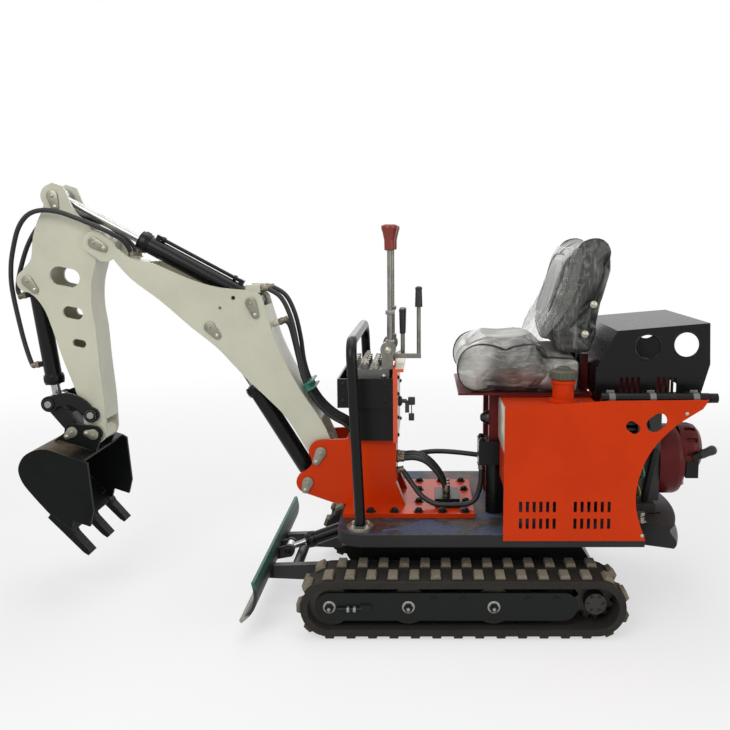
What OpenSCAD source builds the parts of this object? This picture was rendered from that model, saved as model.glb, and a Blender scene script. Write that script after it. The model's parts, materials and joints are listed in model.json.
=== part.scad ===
// Mini excavator on rubber tracks, with an open operator's seat.
// Millimetres. +X is forward, +Y is left, +Z is up, and the ground is z = 0.
// Lengths along the machine are measured from the slew axis, which is
// moved by slew_x so that the whole stands over the middle of its length.

/* [Tracks] */
// Distance between the front and rear track wheels
track_base = 830; // [790:10:870]
// Distance between the middles of the two tracks
track_gauge = 680; // [670:5:720]
// Width of one track
track_w = 180; // [160:5:190]
// Radius of the wheels that carry the ends of the belt
wheel_r = 66; // [62:1:68]
// Thickness of the rubber belt
belt_t = 20; // [17:1:21]
// Height of the lugs
lug_h = 16; // [10:1:18]
// Number of lugs in each of the two rows round a track
lug_count = 33; // [28:1:36]

/* [Dozer blade] */
// Width of the blade
blade_w = 860; // [760:10:900]
// Thickness of the blade
blade_t = 11; // [8:1:14]

/* [Deck] */
// Half of the width of the deck
deck_half_w = 360; // [350:2:370]
// Front edge of the deck from the slew axis
deck_front = 400; // [400:5:420]
// Radius of the front corners
deck_corner = 90; // [50:5:110]
// Radius of the tail about the slew axis
tail_r = 742; // [725:2:760]

/* [Boom and arm] */
// Thickness of the boom's and the arm's side plates
plate_t = 10; // [7:1:11]
// Half of the outer width of the arm
arm_half_w = 60; // [56:1:61]
// Radius of the pivot pins
pin_r = 15; // [11:0.5:16]
// Outer radius of the boom and arm cylinders
barrel_r = 30; // [26:1:32]
// Radius of the cylinder rods
rod_r = 15; // [11:0.5:16]

/* [Bucket] */
// Width of the bucket
bucket_w = 380; // [300:10:420]
// Number of teeth
tooth_count = 3; // [2:1:5]

/* [Operator's place] */
// Width of the seat
seat_w = 450; // [400:10:480]
// Radius of the handrail tube
rail_r = 17; // [12:1:19]
// Height of the handrail above the ground
handrail_top = 915; // [860:5:960]
// Half of the width between the handrail posts
handrail_half_w = 305; // [290:5:315]

/* [Engine cover] */
// Half of the width of the hood
hood_half_w = 250; // [220:5:260]
// Thickness of the sheet metal
sheet_t = 6; // [4:1:8]

/* [Hidden] */
$fn = 48;
slew_x = -335.5;
wheel_z = wheel_r + belt_t + lug_h;
belt_r = wheel_r + belt_t;
half_base = track_base / 2;
half_gauge = track_gauge / 2;
loop_len = 2 * track_base + 2 * PI * belt_r;
lug_pitch = loop_len / lug_count;
// Parts of the undercarriage
frame_y = track_w / 2 - 18;
carbody_top = 221;
carbody_half_w = 205;
ring_top = 248;
// Deck levels
deck_under = 275;
deck_top = 315;
flange_top = 329;
panel_y = deck_half_w;
// Top of the tanks, the seat pan and the underside of the back rest
tank_foot = 460;
tank_top = 722;
pan_top = tank_top + 13;
back_foot = 856;
// Pivots on the x-z plane
boom_foot = [474, 511];
boom_cyl_base = [520, 406];
boom_cyl_pin = [845, 939];
arm_cyl_base = [704, 1020];
arm_pivot = [1223, 1222];
arm_cyl_pin = [1360, 1376];
bucket_cyl_base = [1459, 1093];
link_pin = [1404, 673];
rocker_pivot = [1262, 635];
bucket_link = [1327, 577.5];
bucket_pivot = [1255, 569];
blade_pivot = [345, 112];
blade_cyl_base = [400, 213];
blade_cyl_pin = [602, 138];
// Sideways places of the plates
boom_in = arm_half_w + 6;
boom_out = boom_in + plate_t;
king_in = boom_out + 8;
king_out = king_in + 12;
rocker_in = arm_half_w + 5;
rocker_out = rocker_in + plate_t;
ear_in = arm_half_w + 5;
ear_out = ear_in + 12;
// Running gap between a pin and its bore
fit = 0.05;
// Gap between a cushion and what carries it
soft_gap = 0.3;
drum_z = 504;
// Gap between a rod and the gland it slides in
rod_gap = 0.4;
half_bucket = bucket_w / 2;
// Forward lean of the handrail in degrees
handrail_lean = 2.4;

// Point on a smooth curve through p, between its points i and i + 1
function blend_point(p, i, t) =
    let (a = p[max(i - 1, 0)], b = p[i], c = p[i + 1], d = p[min(i + 2, len(p) - 1)])
    0.5 * (2 * b + (c - a) * t + (2 * a - 5 * b + 4 * c - d) * t * t
        + (3 * b - a - 3 * c + d) * t * t * t);

// Smooth open curve through p with n steps between neighbours
function curve(p, n) = concat(
    [for (i = [0 : len(p) - 2]) for (k = [0 : n - 1]) blend_point(p, i, k / n)],
    [p[len(p) - 1]]
);

// The same list the other way round
function backwards(p) = [for (i = [len(p) - 1 : -1 : 0]) p[i]];

// A plane curve moved sideways by s, to the left of its direction
function beside(p, s) = [
    for (i = [0 : len(p) - 1])
        let (d = p[min(i + 1, len(p) - 1)] - p[max(i - 1, 0)], u = d / norm(d))
        p[i] + s * [-u[1], u[0]]
];

// Direction of q from p in degrees
function bearing(p, q) = atan2(q[1] - p[1], q[0] - p[0]);

// Crosswise product of two vectors with unit length
function across(a, b) = let (c = cross(a, b)) c / norm(c);

module in_frame() {
    translate([slew_x, 0, 0]) children();
}

module both_sides() {
    children();
    mirror([0, 1, 0]) children();
}

// A drawing on the x-z plane made solid between y0 and y1
module slab(y0, y1) {
    translate([0, y1, 0]) rotate([90, 0, 0]) linear_extrude(y1 - y0) children();
}

// The same on both sides of the middle
module slabs(y0, y1) {
    slab(y0, y1) children();
    slab(-y1, -y0) children();
}

// A round bar across the machine at point c of the x-z plane
module crossbar(c, r, y0, y1) {
    translate([c[0], y0, c[1]]) rotate([-90, 0, 0]) cylinder(r = r, h = y1 - y0);
}

// A flat bar with round ends
module bar_shape(p, q, r) {
    translate(p) circle(r = r);
    translate(q) circle(r = r);
    translate(p) rotate(bearing(p, q)) translate([0, -0.995 * r]) square([norm(q - p), 1.99 * r]);
}

module spot(c, r) {
    translate(c) circle(r = r);
}

// Teardrop plate that locks a pin: its round end on c, its bolt end at c + d
module lock_plate(c, d, y, r = 12) {
    n = 0.995 * [-d[1], d[0]] / norm(d);
    slab(y, y + 6) {
        spot(c, 18);
        spot(c + d, r);
        polygon([c + 18 * n, c + d + r * n, c + d - r * n, c - 18 * n]);
    }
}

module block(a, b) {
    translate(a) cube(b - a);
}

// Places its children along the line from p to q of the x-z plane, with z along it
module along(p, q) {
    translate([p[0], 0, p[1]]) rotate([0, 90 - bearing(p, q), 0]) children();
}

// A straight round bar from point p to point q
module stick(p, q, r) {
    d = q - p;
    translate(p) rotate([0, acos(d[2] / norm(d)), atan2(d[1], d[0])]) cylinder(r = r, h = norm(d));
}

// A bent round hose through the points of route
module hose(route, r, n = 4, sides = 10) {
    path = curve(route, n);
    last = len(path) - 1;
    end = len(route) - 1;
    ring_points = [
        for (i = [0 : last])
            let (
                d = i == 0 ? route[1] - route[0]
                    : i == last ? route[end] - route[end - 1]
                    : path[i + 1] - path[i - 1],
                t = d / norm(d),
                a = across(t, [0.11, 1, 0.07]),
                b = cross(t, a)
            )
            for (k = [0 : sides - 1])
                path[i] + r * (a * cos(360 * k / sides) + b * sin(360 * k / sides))
    ];
    faces = concat(
        [[for (k = [0 : sides - 1]) k]],
        [[for (k = [sides - 1 : -1 : 0]) last * sides + k]],
        [for (i = [0 : last - 1]) for (k = [0 : sides - 1])
            [i * sides + k, (i + 1) * sides + k, (i + 1) * sides + (k + 1) % sides]],
        [for (i = [0 : last - 1]) for (k = [0 : sides - 1])
            [i * sides + k, (i + 1) * sides + (k + 1) % sides, i * sides + (k + 1) % sides]]
    );
    polyhedron(points = ring_points, faces = faces);
}

// Six-sided bolt head standing on point p, with its axis along z
module bolt_head(p, r, h) {
    translate(p) cylinder(r = r, h = h, $fn = 6);
}

// Bolt head on a side plate, pointing to +y
module side_bolt(c, y, r, h) {
    translate([c[0], y, c[1]]) rotate([-90, 0, 0]) cylinder(r = r, h = h, $fn = 6);
}

// Outline of the belt's outer or inner face
module belt_shape(r) {
    translate([-half_base, wheel_z - r]) square([track_base, 2 * r]);
    spot([-half_base, wheel_z], r);
    spot([half_base, wheel_z], r);
}

// Stands its children on the belt at distance s round it
module on_belt(s) {
    arc_len = PI * belt_r;
    if (s < track_base)
        translate([s - half_base, 0, wheel_z + belt_r]) children();
    else if (s < track_base + arc_len)
        translate([half_base, 0, wheel_z]) rotate([0, (s - track_base) / arc_len * 180, 0])
            translate([0, 0, belt_r]) children();
    else if (s < 2 * track_base + arc_len)
        translate([half_base - (s - track_base - arc_len), 0, wheel_z - belt_r])
            rotate([0, 180, 0]) children();
    else
        translate([-half_base, 0, wheel_z])
            rotate([0, 180 + (s - 2 * track_base - arc_len) / arc_len * 180, 0])
                translate([0, 0, belt_r]) children();
}

// One rubber lug that narrows towards its top
module lug() {
    a = 18;
    b = track_w * 0.165;
    polyhedron(
        points = [[-a, -b, -3], [a, -b, -3], [a, b, -3], [-a, b, -3],
            [-0.72 * a, -0.84 * b, lug_h], [0.72 * a, -0.84 * b, lug_h],
            [0.72 * a, 0.84 * b, lug_h], [-0.72 * a, 0.84 * b, lug_h]],
        faces = [[0, 1, 2, 3], [7, 6, 5, 4], [0, 4, 5, 1], [1, 5, 6, 2], [2, 6, 7, 3], [3, 7, 4, 0]]
    );
}

module track() {
    slab(-track_w / 2, track_w / 2) difference() {
        belt_shape(belt_r);
        belt_shape(wheel_r);
    }
    for (i = [0 : lug_count - 1]) {
        on_belt(i * lug_pitch) translate([0, -track_w * 0.27, 0]) lug();
        on_belt((i + 0.5) * lug_pitch) translate([0, track_w * 0.27, 0]) lug();
    }
}

module track_left() {
    color("DimGray") translate([0, half_gauge, 0]) track();
}

module track_right() {
    color("DimGray") translate([0, -half_gauge, 0]) mirror([0, 1, 0]) track();
}

// Rollers and spacers share out the track's base
roller_x = [34, -19] * half_base / 83;
spacer_x = [-50, 8, 57] * half_base / 83;
tightener_x = half_base - 130;
axle_r = 13;

// Side plates, axles and belt tightener of the left track
module track_frame() {
    for (y = [frame_y - 9, -frame_y])
        slab(y, y + 9) bar_shape([-half_base + 105, wheel_z], [half_base, wheel_z], 45);
    for (x = concat(roller_x, [half_base])) {
        crossbar([x, wheel_z], axle_r, -frame_y, frame_y);
        side_bolt([x, wheel_z], frame_y, 15, 9);
        side_bolt([x, wheel_z], frame_y + 9, 9, 5);
    }
    for (x = spacer_x)
        crossbar([x, wheel_z], 22, -frame_y, frame_y);
    block([tightener_x, frame_y, wheel_z - 14], [tightener_x + 35, frame_y + 9, wheel_z + 8]);
    translate([tightener_x + 25, frame_y + 6, wheel_z - 4]) rotate([0, 90, 0]) cylinder(r = 6, h = 80);
    for (x = [125 - half_base, 215 - half_base, 0, spacer_x[1] + 50])
        side_bolt([x, wheel_z + 25], frame_y, 8, 5);
}

module track_frame_left() {
    color("DarkSlateGray") translate([0, half_gauge, 0]) track_frame();
}

module track_frame_right() {
    color("DarkSlateGray") translate([0, -half_gauge, 0]) mirror([0, 1, 0]) track_frame();
}

module wheel_at(x, r) {
    difference() {
        union() {
            crossbar([x, wheel_z], r, 12, frame_y - 12);
            crossbar([x, wheel_z], r, 12 - frame_y, -12);
            crossbar([x, wheel_z], r - 16, -13, 13);
        }
        crossbar([x, wheel_z], axle_r, -frame_y, frame_y);
    }
}

module idlers() {
    color("SlateGray") both_sides() translate([0, half_gauge, 0]) wheel_at(half_base, wheel_r);
}

module road_rollers() {
    color("SlateGray") both_sides() translate([0, half_gauge, 0])
        for (x = roller_x) wheel_at(x, wheel_r - 6);
}

module sprocket_shape() {
    circle(r = wheel_r - 14);
    for (i = [0 : 10])
        rotate(i * 360 / 11)
            polygon([[wheel_r - 20, -12], [wheel_r - 1, -6], [wheel_r - 1, 6], [wheel_r - 20, 12]]);
}

module sprockets() {
    color("SlateGray") both_sides() translate([0, half_gauge, 0])
        translate([-half_base, 0, wheel_z]) {
            rotate([90, 0, 0]) translate([0, 0, -14]) linear_extrude(28) sprocket_shape();
            rotate([-90, 0, 0]) cylinder(r = 34, h = frame_y - 20);
            for (i = [0 : 5])
                rotate([0, i * 60, 0]) translate([24, frame_y - 20, 0]) rotate([-90, 0, 0])
                    cylinder(r = 5, h = 6, $fn = 6);
        }
}

module travel_motors() {
    color("DimGray") both_sides() translate([-half_base, half_gauge, wheel_z]) {
        rotate([90, 0, 0]) translate([0, 0, 14]) cylinder(r = 50, h = frame_y - 14);
        rotate([90, 0, 0]) translate([0, 0, frame_y]) cylinder(r = 36, h = 40);
        block([-40, -frame_y - 10, -40], [150, -frame_y, 40]);
    }
}

module carbody() {
    color("DarkSlateGray") {
        difference() {
            slab(-carbody_half_w, carbody_half_w)
                polygon([[395, carbody_top], [-400, carbody_top], [-465, 118], [-385, 118],
                    [-350, 150], [345, 150], [372, 178]]);
            block([356, -28, 160], [440, 28, 240]);
        }
        both_sides() {
            for (x = [-250, 120])
                block([x, carbody_half_w, 116], [x + 110, half_gauge - frame_y, 160]);
            // Ears that carry the blade's arms
            difference() {
                union() {
                    for (y = [120, 168])
                        slab(y, y + 14) {
                            spot(blade_pivot, 30);
                            translate([blade_pivot[0] - 30, blade_pivot[1]]) square([60, 45]);
                        }
                }
                crossbar(blade_pivot, 14 + fit, 100, 200);
            }
        }
        // Ears that carry the blade's cylinder
        slabs(28, 40) {
            spot(blade_cyl_base, 24);
            polygon([[340, 215], [424, 213], [380, 180], [340, 180]]);
        }
        crossbar(blade_cyl_base, 12, -40, 40);
        // Bolts of the slewing ring
        for (i = [0 : 11])
            rotate([0, 0, i * 30 + 15]) bolt_head([194, 0, carbody_top - 3], 8, 11);
    }
}

module slew_ring_lower() {
    color("SlateGray") difference() {
        translate([0, 0, carbody_top]) cylinder(r = 182, h = ring_top - carbody_top);
        translate([0, 0, carbody_top - 1]) cylinder(r = 120, h = 60);
    }
}

module slew_ring_upper() {
    color("SlateGray") {
        translate([0, 0, ring_top + 6]) cylinder(r = 190, h = deck_under - ring_top - 6);
        translate([0, 0, carbody_top + 6]) cylinder(r = 119.4, h = ring_top - carbody_top);
    }
}

blade_front = curve([[652, 187], [645, 150], [650, 116], [667, 88], [692, 66]], 4);

module blade() {
    color("DarkSlateGray") {
        slab(-blade_w / 2, blade_w / 2)
            polygon(concat(blade_front, backwards(beside(blade_front, -blade_t))));
        both_sides() slab(137, 165) {
            bar_shape(blade_pivot, [470, 112], 28);
            polygon([[470, 84], [650, 92], [640, 135], [470, 140]]);
        }
        both_sides() crossbar(blade_pivot, 14, 118, 184);
        slab(-165, 165) spot([560, 113], 18);
        slabs(28, 40) {
            spot(blade_cyl_pin, 22);
            polygon([[590, 118], [644, 108], [640, 150], [600, 158]]);
        }
        both_sides() crossbar(blade_cyl_pin, 14, 40, 46);
    }
}

// A cylinder's body from its base eye at p towards q, up to the gland at length g
module barrel(p, q, r, g, bore, eye_w) {
    difference() {
        union() {
            crossbar(p, pin_r + 14, -eye_w, eye_w);
            along(p, q) {
                cylinder(r = r, h = g - 22);
                translate([0, 0, g - 34]) cylinder(r = r + 4, h = 34);
            }
        }
        crossbar(p, pin_r + fit, -eye_w - 1, eye_w + 1);
        along(p, q) translate([0, 0, pin_r + 16]) cylinder(r = bore, h = g);
    }
}

// A rod with its eye at q, reaching back by t towards p
module rod(p, q, t, r, eye_r, eye_w) {
    crossbar(q, eye_r, -eye_w, eye_w);
    along(q, p) cylinder(r = r, h = t);
}

module blade_barrel() {
    color("Black") difference() {
        union() {
            crossbar(blade_cyl_base, 21, -20, 20);
            along(blade_cyl_base, blade_cyl_pin) {
                cylinder(r = 24, h = 135);
                translate([0, 0, 120]) cylinder(r = 27, h = 28);
            }
        }
        crossbar(blade_cyl_base, 12 + fit, -30, 30);
        along(blade_cyl_base, blade_cyl_pin) translate([0, 0, 24])
            cylinder(r = 11 + rod_gap, h = 160);
    }
}

module blade_rod() {
    color("LightGray") rod(blade_cyl_base, blade_cyl_pin, 150, 11, 20, 20);
}

module deck_shape(inset) {
    x1 = deck_front - inset;
    y1 = deck_half_w - inset;
    r = deck_corner - inset / 2;
    translate([-570 + inset, -y1]) square([x1 - r + 570 - inset, 2 * y1]);
    translate([0, -y1 + r]) square([x1, 2 * y1 - 2 * r]);
    for (s = [-1, 1])
        spot([x1 - r, s * (y1 - r)], r);
}

module deck() {
    color("DimGray") difference() {
        union() {
            difference() {
                translate([0, 0, deck_under]) linear_extrude(deck_top - deck_under) deck_shape(0);
                translate([0, 0, deck_under - 1]) linear_extrude(29) deck_shape(14);
            }
            translate([0, 0, deck_under]) cylinder(r = 190, h = 35);
            for (y = [-200, 200])
                block([-560, y - 6, deck_under], [380, y + 6, deck_top - 6]);
        }
        translate([0, 0, deck_under - 1]) cylinder(r = 60, h = 20);
    }
}

tail_rim = curve([[0, 238], [8, 252], [4, 268], [-10, 286], [-14, 299], [-2, 315]], 4);

module tail_weight() {
    color("DarkSlateGray") difference() {
        rotate([0, 0, 158]) rotate_extrude(angle = 44, $fn = 96)
            polygon(concat([[520, deck_top], [520, 238]], [for (p = tail_rim) [tail_r + p[0], p[1]]]));
        block([-570, -400, 200], [-300, 400, 400]);
        for (y = [-150, 0, 150])
            translate([0, y, 0]) linear_extrude(400) bar_shape([-668, 0], [-640, 0], 9);
    }
}

king_shape = concat(
    [[217, flange_top], [400, flange_top], [439, 335], [536, 370]],
    [for (a = [-60 : 20 : 60]) boom_cyl_base + 40 * [cos(a), sin(a)]],
    curve([[525, 447], [506, 468], [508, 492]], 3),
    [for (a = [-10 : 20 : 90]) boom_foot + 42 * [cos(a), sin(a)]],
    [[384, 557], [217, 557]]
);

module kingpost() {
    color("OrangeRed") {
        slabs(king_in, king_out) polygon(king_shape);
        block([217, -king_in, flange_top], [229, king_in, 557]);
        block([384, -king_in, flange_top], [396, king_in, 535]);
        block([229, -king_in, 545], [384, king_in, 557]);
        block([-47, -200, deck_top], [391, 200, flange_top]);
        slabs(king_in, king_out) polygon([[185, flange_top], [217, flange_top], [217, 410]]);
        both_sides() {
            lock_plate(boom_foot, [16, -32], king_out);
            lock_plate(boom_cyl_base, [9, -26], king_out);
            for (x = [-15, 60, 140, 220, 300])
                bolt_head([x, 178, flange_top], 11, 9);
            for (x = [-22, 140])
                bolt_head([x, 70, flange_top], 11, 9);
        }
        crossbar(boom_foot, pin_r, -king_in, king_in);
        crossbar(boom_cyl_base, pin_r, -king_in, king_in);
    }
}

module console_box() {
    color("Black") difference() {
        union() {
            block([225, -150, 676], [410, 150, 774]);
            block([225, -120, 557], [345, 120, 676]);
        }
        block([231, -144, 690], [404, 144, 780]);
    }
}

valve_top = 800;

module valve_bank() {
    color("Gray") {
        for (i = [0 : 4])
            block([238, -118 + i * 48, 690], [380, -118 + i * 48 + 44, valve_top]);
        block([300, -118, 712], [342, 118, 736]);
        for (i = [0 : 4])
            translate([321, -96 + i * 48, valve_top]) cylinder(r = 14, h = 22);
    }
}

module long_levers() {
    color("Gray") both_sides() {
        block([226, 80, valve_top], [264, 112, 850]);
        crossbar([242, 866], 26, 76, 116);
        crossbar([242, 866], 12, 70, 122);
        translate([236, 96, 880]) cylinder(r = 10, h = 110);
        translate([236, 96, 985]) cylinder(r = 8.5, h = 220);
        translate([236, 96, 1196]) rotate_extrude()
            polygon([[0, 0], [15, 0], [17.5, 3], [18, 34], [23, 58], [28, 74], [27, 82], [20, 86], [0, 83]]);
    }
}

module short_levers() {
    color("Black") {
        for (y = [-34, 12]) {
            translate([262, y, valve_top]) cylinder(r = 11, h = 16);
            stick([262, y, 810], [196, y, 842], 7);
            translate([196, y, 836]) cylinder(r = 7, h = 80);
            translate([196, y, 910]) cylinder(r1 = 10, r2 = 12, h = 76);
        }
        translate([246, 44, valve_top]) cylinder(r = 10, h = 40);
        block([132, 36, 829], [252, 52, 845]);
        translate([140, 44, 836]) cylinder(r = 7, h = 172);
        translate([140, 44, 1005]) cylinder(r1 = 13, r2 = 11, h = 61);
    }
}

module dash_panel() {
    color("Wheat") {
        block([210, -150, 557], [225, 150, 800]);
        block([190, -150, 796], [225, 150, 806]);
        translate([196, 100, 690]) rotate([0, 90, 0]) cylinder(r = 14, h = 18);
        translate([180, 100, 690]) rotate([0, 90, 0]) cylinder(r = 7, h = 20);
        block([172, 97, 650], [186, 103, 692]);
    }
}

module handrail() {
    foot = [325, 0, deck_top + 12];
    rise = handrail_top - deck_top - 12 - 60;
    reach = handrail_half_w - 60;
    color("Black") {
        for (s = [-1, 1])
            translate([325, s * handrail_half_w, deck_top]) {
                cylinder(r = 42, h = 12);
                for (a = [45, 135, 225, 315])
                    rotate([0, 0, a]) bolt_head([31, 0, 9], 7, 9);
            }
        translate(foot) rotate([0, handrail_lean, 0]) {
            for (s = [-1, 1]) {
                translate([0, s * handrail_half_w, -8]) cylinder(r = rail_r, h = rise + 8);
                translate([0, s * reach, rise]) rotate([0, s > 0 ? 0 : 180, 0]) rotate([90, 0, 90])
                    rotate([0, 0, s > 0 ? 0 : 180]) rotate_extrude(angle = 90)
                        translate([60, 0]) circle(r = rail_r);
            }
            crossbar([0, rise + 60], rail_r, -reach, reach);
        }
    }
}

panel_edge = curve([[-570, 297], [-545, 371], [-536, 429], [-542, 490], [-564, 556], [-596, 607],
    [-638, 651], [-674, 679], [-734, 717]], 3);

module panel_cut() {
    for (g = [-174, -344])
        for (i = [0 : 5])
            for (z = [390, 336])
                translate([g - i * 21 - 10, z]) square([10, 34]);
    translate([-521, 659]) rotate(-20) scale(1) bar_shape([-4, -6], [4, 6], 16);
    translate([-594, 674]) rotate(-35) bar_shape([-10, 0], [10, 0], 24);
}

module side_panels() {
    color("OrangeRed") slabs(panel_y, panel_y + sheet_t) difference() {
        polygon(concat([[-127, 721], [-125, 297]], panel_edge, [[-752, 745], [-448, 742]]));
        panel_cut();
    }
}

module tanks() {
    color("OrangeRed") {
        both_sides() {
            block([-420, 190, tank_foot], [-128, panel_y, tank_top]);
            translate([-318, 280, tank_top]) cylinder(r = 46, h = 10);
            translate([-318, 280, tank_top + 10]) cylinder(r = 34, h = 66);
            translate([-318, 280, tank_top + 76]) cylinder(r = 40, h = 26, $fn = 24);
        }
        // Cover across the front, between the two tanks
        block([-134, -190, 578], [-128, 190, tank_top]);
    }
}

module rail_tubes() {
    color("Black") both_sides() {
        translate([-760, 335, 745]) rotate([0, 90, 0]) {
            cylinder(r = 16, h = 334);
            translate([0, 0, -3]) cylinder(r = 11, h = 5);
            translate([0, 0, -27]) cylinder(r = 15, h = 24);
        }
        for (x = [-459, -585, -719]) {
            block([x - 14, hood_half_w, 740], [x + 14, 335, 750]);
            block([x - 14, 335, 731], [x + 14, panel_y, 740]);
        }
    }
}

hood_shape = [[-426, 735], [-426, 821], [-470, 905], [-492, 945], [-785, 970], [-790, 838], [-761, 735]];
hood_inner = [[-432, 734], [-432, 820], [-475, 902], [-496, 939], [-779, 963], [-784, 838], [-755, 734]];

module hood() {
    color("Black") difference() {
        slab(-hood_half_w, hood_half_w) polygon(hood_shape);
        slab(-hood_half_w + sheet_t, hood_half_w - sheet_t) polygon(hood_inner);
        slab(-hood_half_w - 1, hood_half_w + 1) {
            spot([-590, 893], 42);
            spot([-713, 901], 42);
            for (x = [-685, -567])
                for (i = [0 : 3])
                    translate([x + i * 18, 748]) square([10, 48]);
        }
        // Open back
        block([-800, 30 - hood_half_w, 762], [-745, hood_half_w - 30, 940]);
    }
}

module engine_block() {
    color("DarkRed") {
        block([-660, -150, deck_top], [-480, 150, 345]);
        block([-620, -120, 345], [-480, 120, 560]);
        difference() {
            block([-600, -95, 560], [-480, 95, 720]);
            for (i = [0 : 6]) {
                block([-601, -96, 575 + i * 20], [-575, 96, 585 + i * 20]);
                block([-601, 70, 575 + i * 20], [-479, 96, 585 + i * 20]);
                block([-601, -96, 575 + i * 20], [-479, -70, 585 + i * 20]);
            }
        }
        block([-680, -110, 345], [-610, 110, 520]);
        block([-680, -118, 520], [-600, 118, 700]);
    }
}

// Round housing of the starter, larger by g all over
module starter_drum(g) {
    translate([-768, 0, drum_z]) rotate([0, -90, 0]) rotate_extrude()
        polygon([[0, -6], [88 + g, -6], [88 + g, 36], [82 + g, 56 + g], [66 + g, 70 + g], [0, 76 + g]]);
}

module engine_shroud() {
    color("Maroon") {
        translate([-680, 0, 466]) rotate([0, -90, 0]) rotate_extrude()
            polygon([[0, 0], [122, 0], [122, 66], [117, 80], [104, 90], [0, 90]]);
        difference() {
            starter_drum(0);
            for (i = [0 : 11])
                translate([-768, 0, drum_z]) rotate([i * 30, 0, 0]) block([-50, -8, 76], [-12, 8, 92]);
        }
        // Fuel tank on the engine's head
        block([-690, -160, 720], [-470, 160, 806]);
    }
}

module pull_handle() {
    color("Black") difference() {
        union() {
            stick([-800, 80, 486], [-866, 80, 513], 14);
            translate([-866, 80, 513]) sphere(r = 14);
            block([-822, 44, 416], [-780, 84, 482]);
        }
        starter_drum(soft_gap);
    }
}

module pump_unit() {
    color("Black") {
        translate([-116, 130, deck_top]) cylinder(r = 30, h = 175);
        block([-152, 86, deck_top + 173], [-60, 174, deck_top + 252]);
        for (x = [-140, -72])
            for (y = [98, 162])
                bolt_head([x, y, deck_top + 252], 8, 8);
        block([-480, -75, deck_top + 60], [-300, 75, deck_top + 210]);
        block([-470, -70, deck_top], [-330, 70, deck_top + 60]);
        block([-300, -55, deck_top + 75], [-210, 55, deck_top + 195]);
    }
}

// Row of ports on the manifold and how high they stand
port_rows = [10, 45, 80];
port_top = flange_top + 37;

module manifold() {
    color("DimGray") {
        block([0, -20, flange_top], [84, 112, port_top - 14]);
        for (y = port_rows)
            translate([45, y, port_top - 14]) cylinder(r = 13, h = 14);
    }
}

module seat_frame() {
    color("Maroon") {
        block([-127, 114, deck_top + 252], [-95, 146, pan_top - 7]);
        translate([-95, 130, 640]) rotate([0, 90, 0]) cylinder(r1 = 24, r2 = 11, h = 26);
        block([-127, -146, deck_top], [-95, -114, pan_top - 7]);
        block([-420, -200, pan_top - 7], [10, 200, pan_top]);
        block([-420, -205, tank_top], [-128, 205, pan_top - 7]);
        for (y = [-115, 115])
            block([-424, y - 15, pan_top - 7], [-402, y + 15, back_foot - soft_gap]);
    }
}

cushion_top = curve([[-40, 0], [2, 13], [24, 50], [27, 90], [12, 137], [-25, 162], [-75, 168], [-136, 163],
    [-199, 168], [-240, 173], [-264, 153], [-276, 123], [-290, 116]], 4);

module seat_cushion() {
    color("Black") translate([0, 0, pan_top + soft_gap]) slab(-seat_w / 2, seat_w / 2)
        polygon(concat([[-395, 0]], cushion_top, [[-395, 116]]));
}

back_edge = curve([[-306, 0], [-290, 44], [-283, 94], [-314, 195], [-347, 302], [-377, 373], [-399, 388],
    [-439, 393], [-470, 379], [-486, 349], [-477, 284], [-461, 217], [-443, 145], [-431, 73], [-424, 0]], 4);

module seat_back() {
    color("Black") translate([0, 0, back_foot]) slab(-seat_w / 2 + 10, seat_w / 2 - 10) polygon(back_edge);
}

module deck_hoses() {
    color("Black") {
        for (y = port_rows)
            hose([[216.6, y - 18, 480], [196, y - 18, 480], [152, y - 13, 483], [112, y - 5, 470],
                [74, y, 432], [52, y, 392], [45, y, 377], [45, y, port_top + 0.4]], 9);
        hose([[216.6, 70, 440], [196, 70, 440], [166, 84, 402], [128, 112, 361], [80, 137, 342],
            [20, 140, 340], [-24, 138, 342], [-54, 134, 362], [-69, 131, 410], [-72, 130, 455],
            [-72, 130, 487.6]], 9);
        hose([[216.6, -44, 462], [192, -44, 462], [80, -30, 482], [-60, -8, 476], [-180, 0, 455],
            [-209.6, 0, 455]], 9);
    }
}

boom_top = curve([[1175, 1226], [1105, 1171], [1028, 1152], [913, 1102], [820, 1074], [730, 1064],
    [688, 1058], [668, 1040]], 4);
boom_rear = curve([[668, 1040], [648, 969], [620, 878], [549, 733], [475, 619], [432, 525]], 4);
boom_under = curve([[516, 500], [587, 619], [654, 692], [718, 754], [777, 819], [826, 871], [909, 939],
    [1008, 1027], [1107, 1104], [1175, 1186]], 4);

module boom_plate() {
    difference() {
        polygon(concat(boom_top, boom_rear, boom_under));
        spot([764, 1037], 7);
        spot([809, 1003], 5);
    }
    bar_shape([1190, 1196], arm_pivot, 38);
    spot(boom_foot, 43);
}

// A strip of the boom's edge, from one point of a curve to another
module edge_strip(p, i, j, s) {
    part = [for (k = [i : j]) p[k]];
    polygon(concat(part, backwards(beside(part, s))));
}

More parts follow.
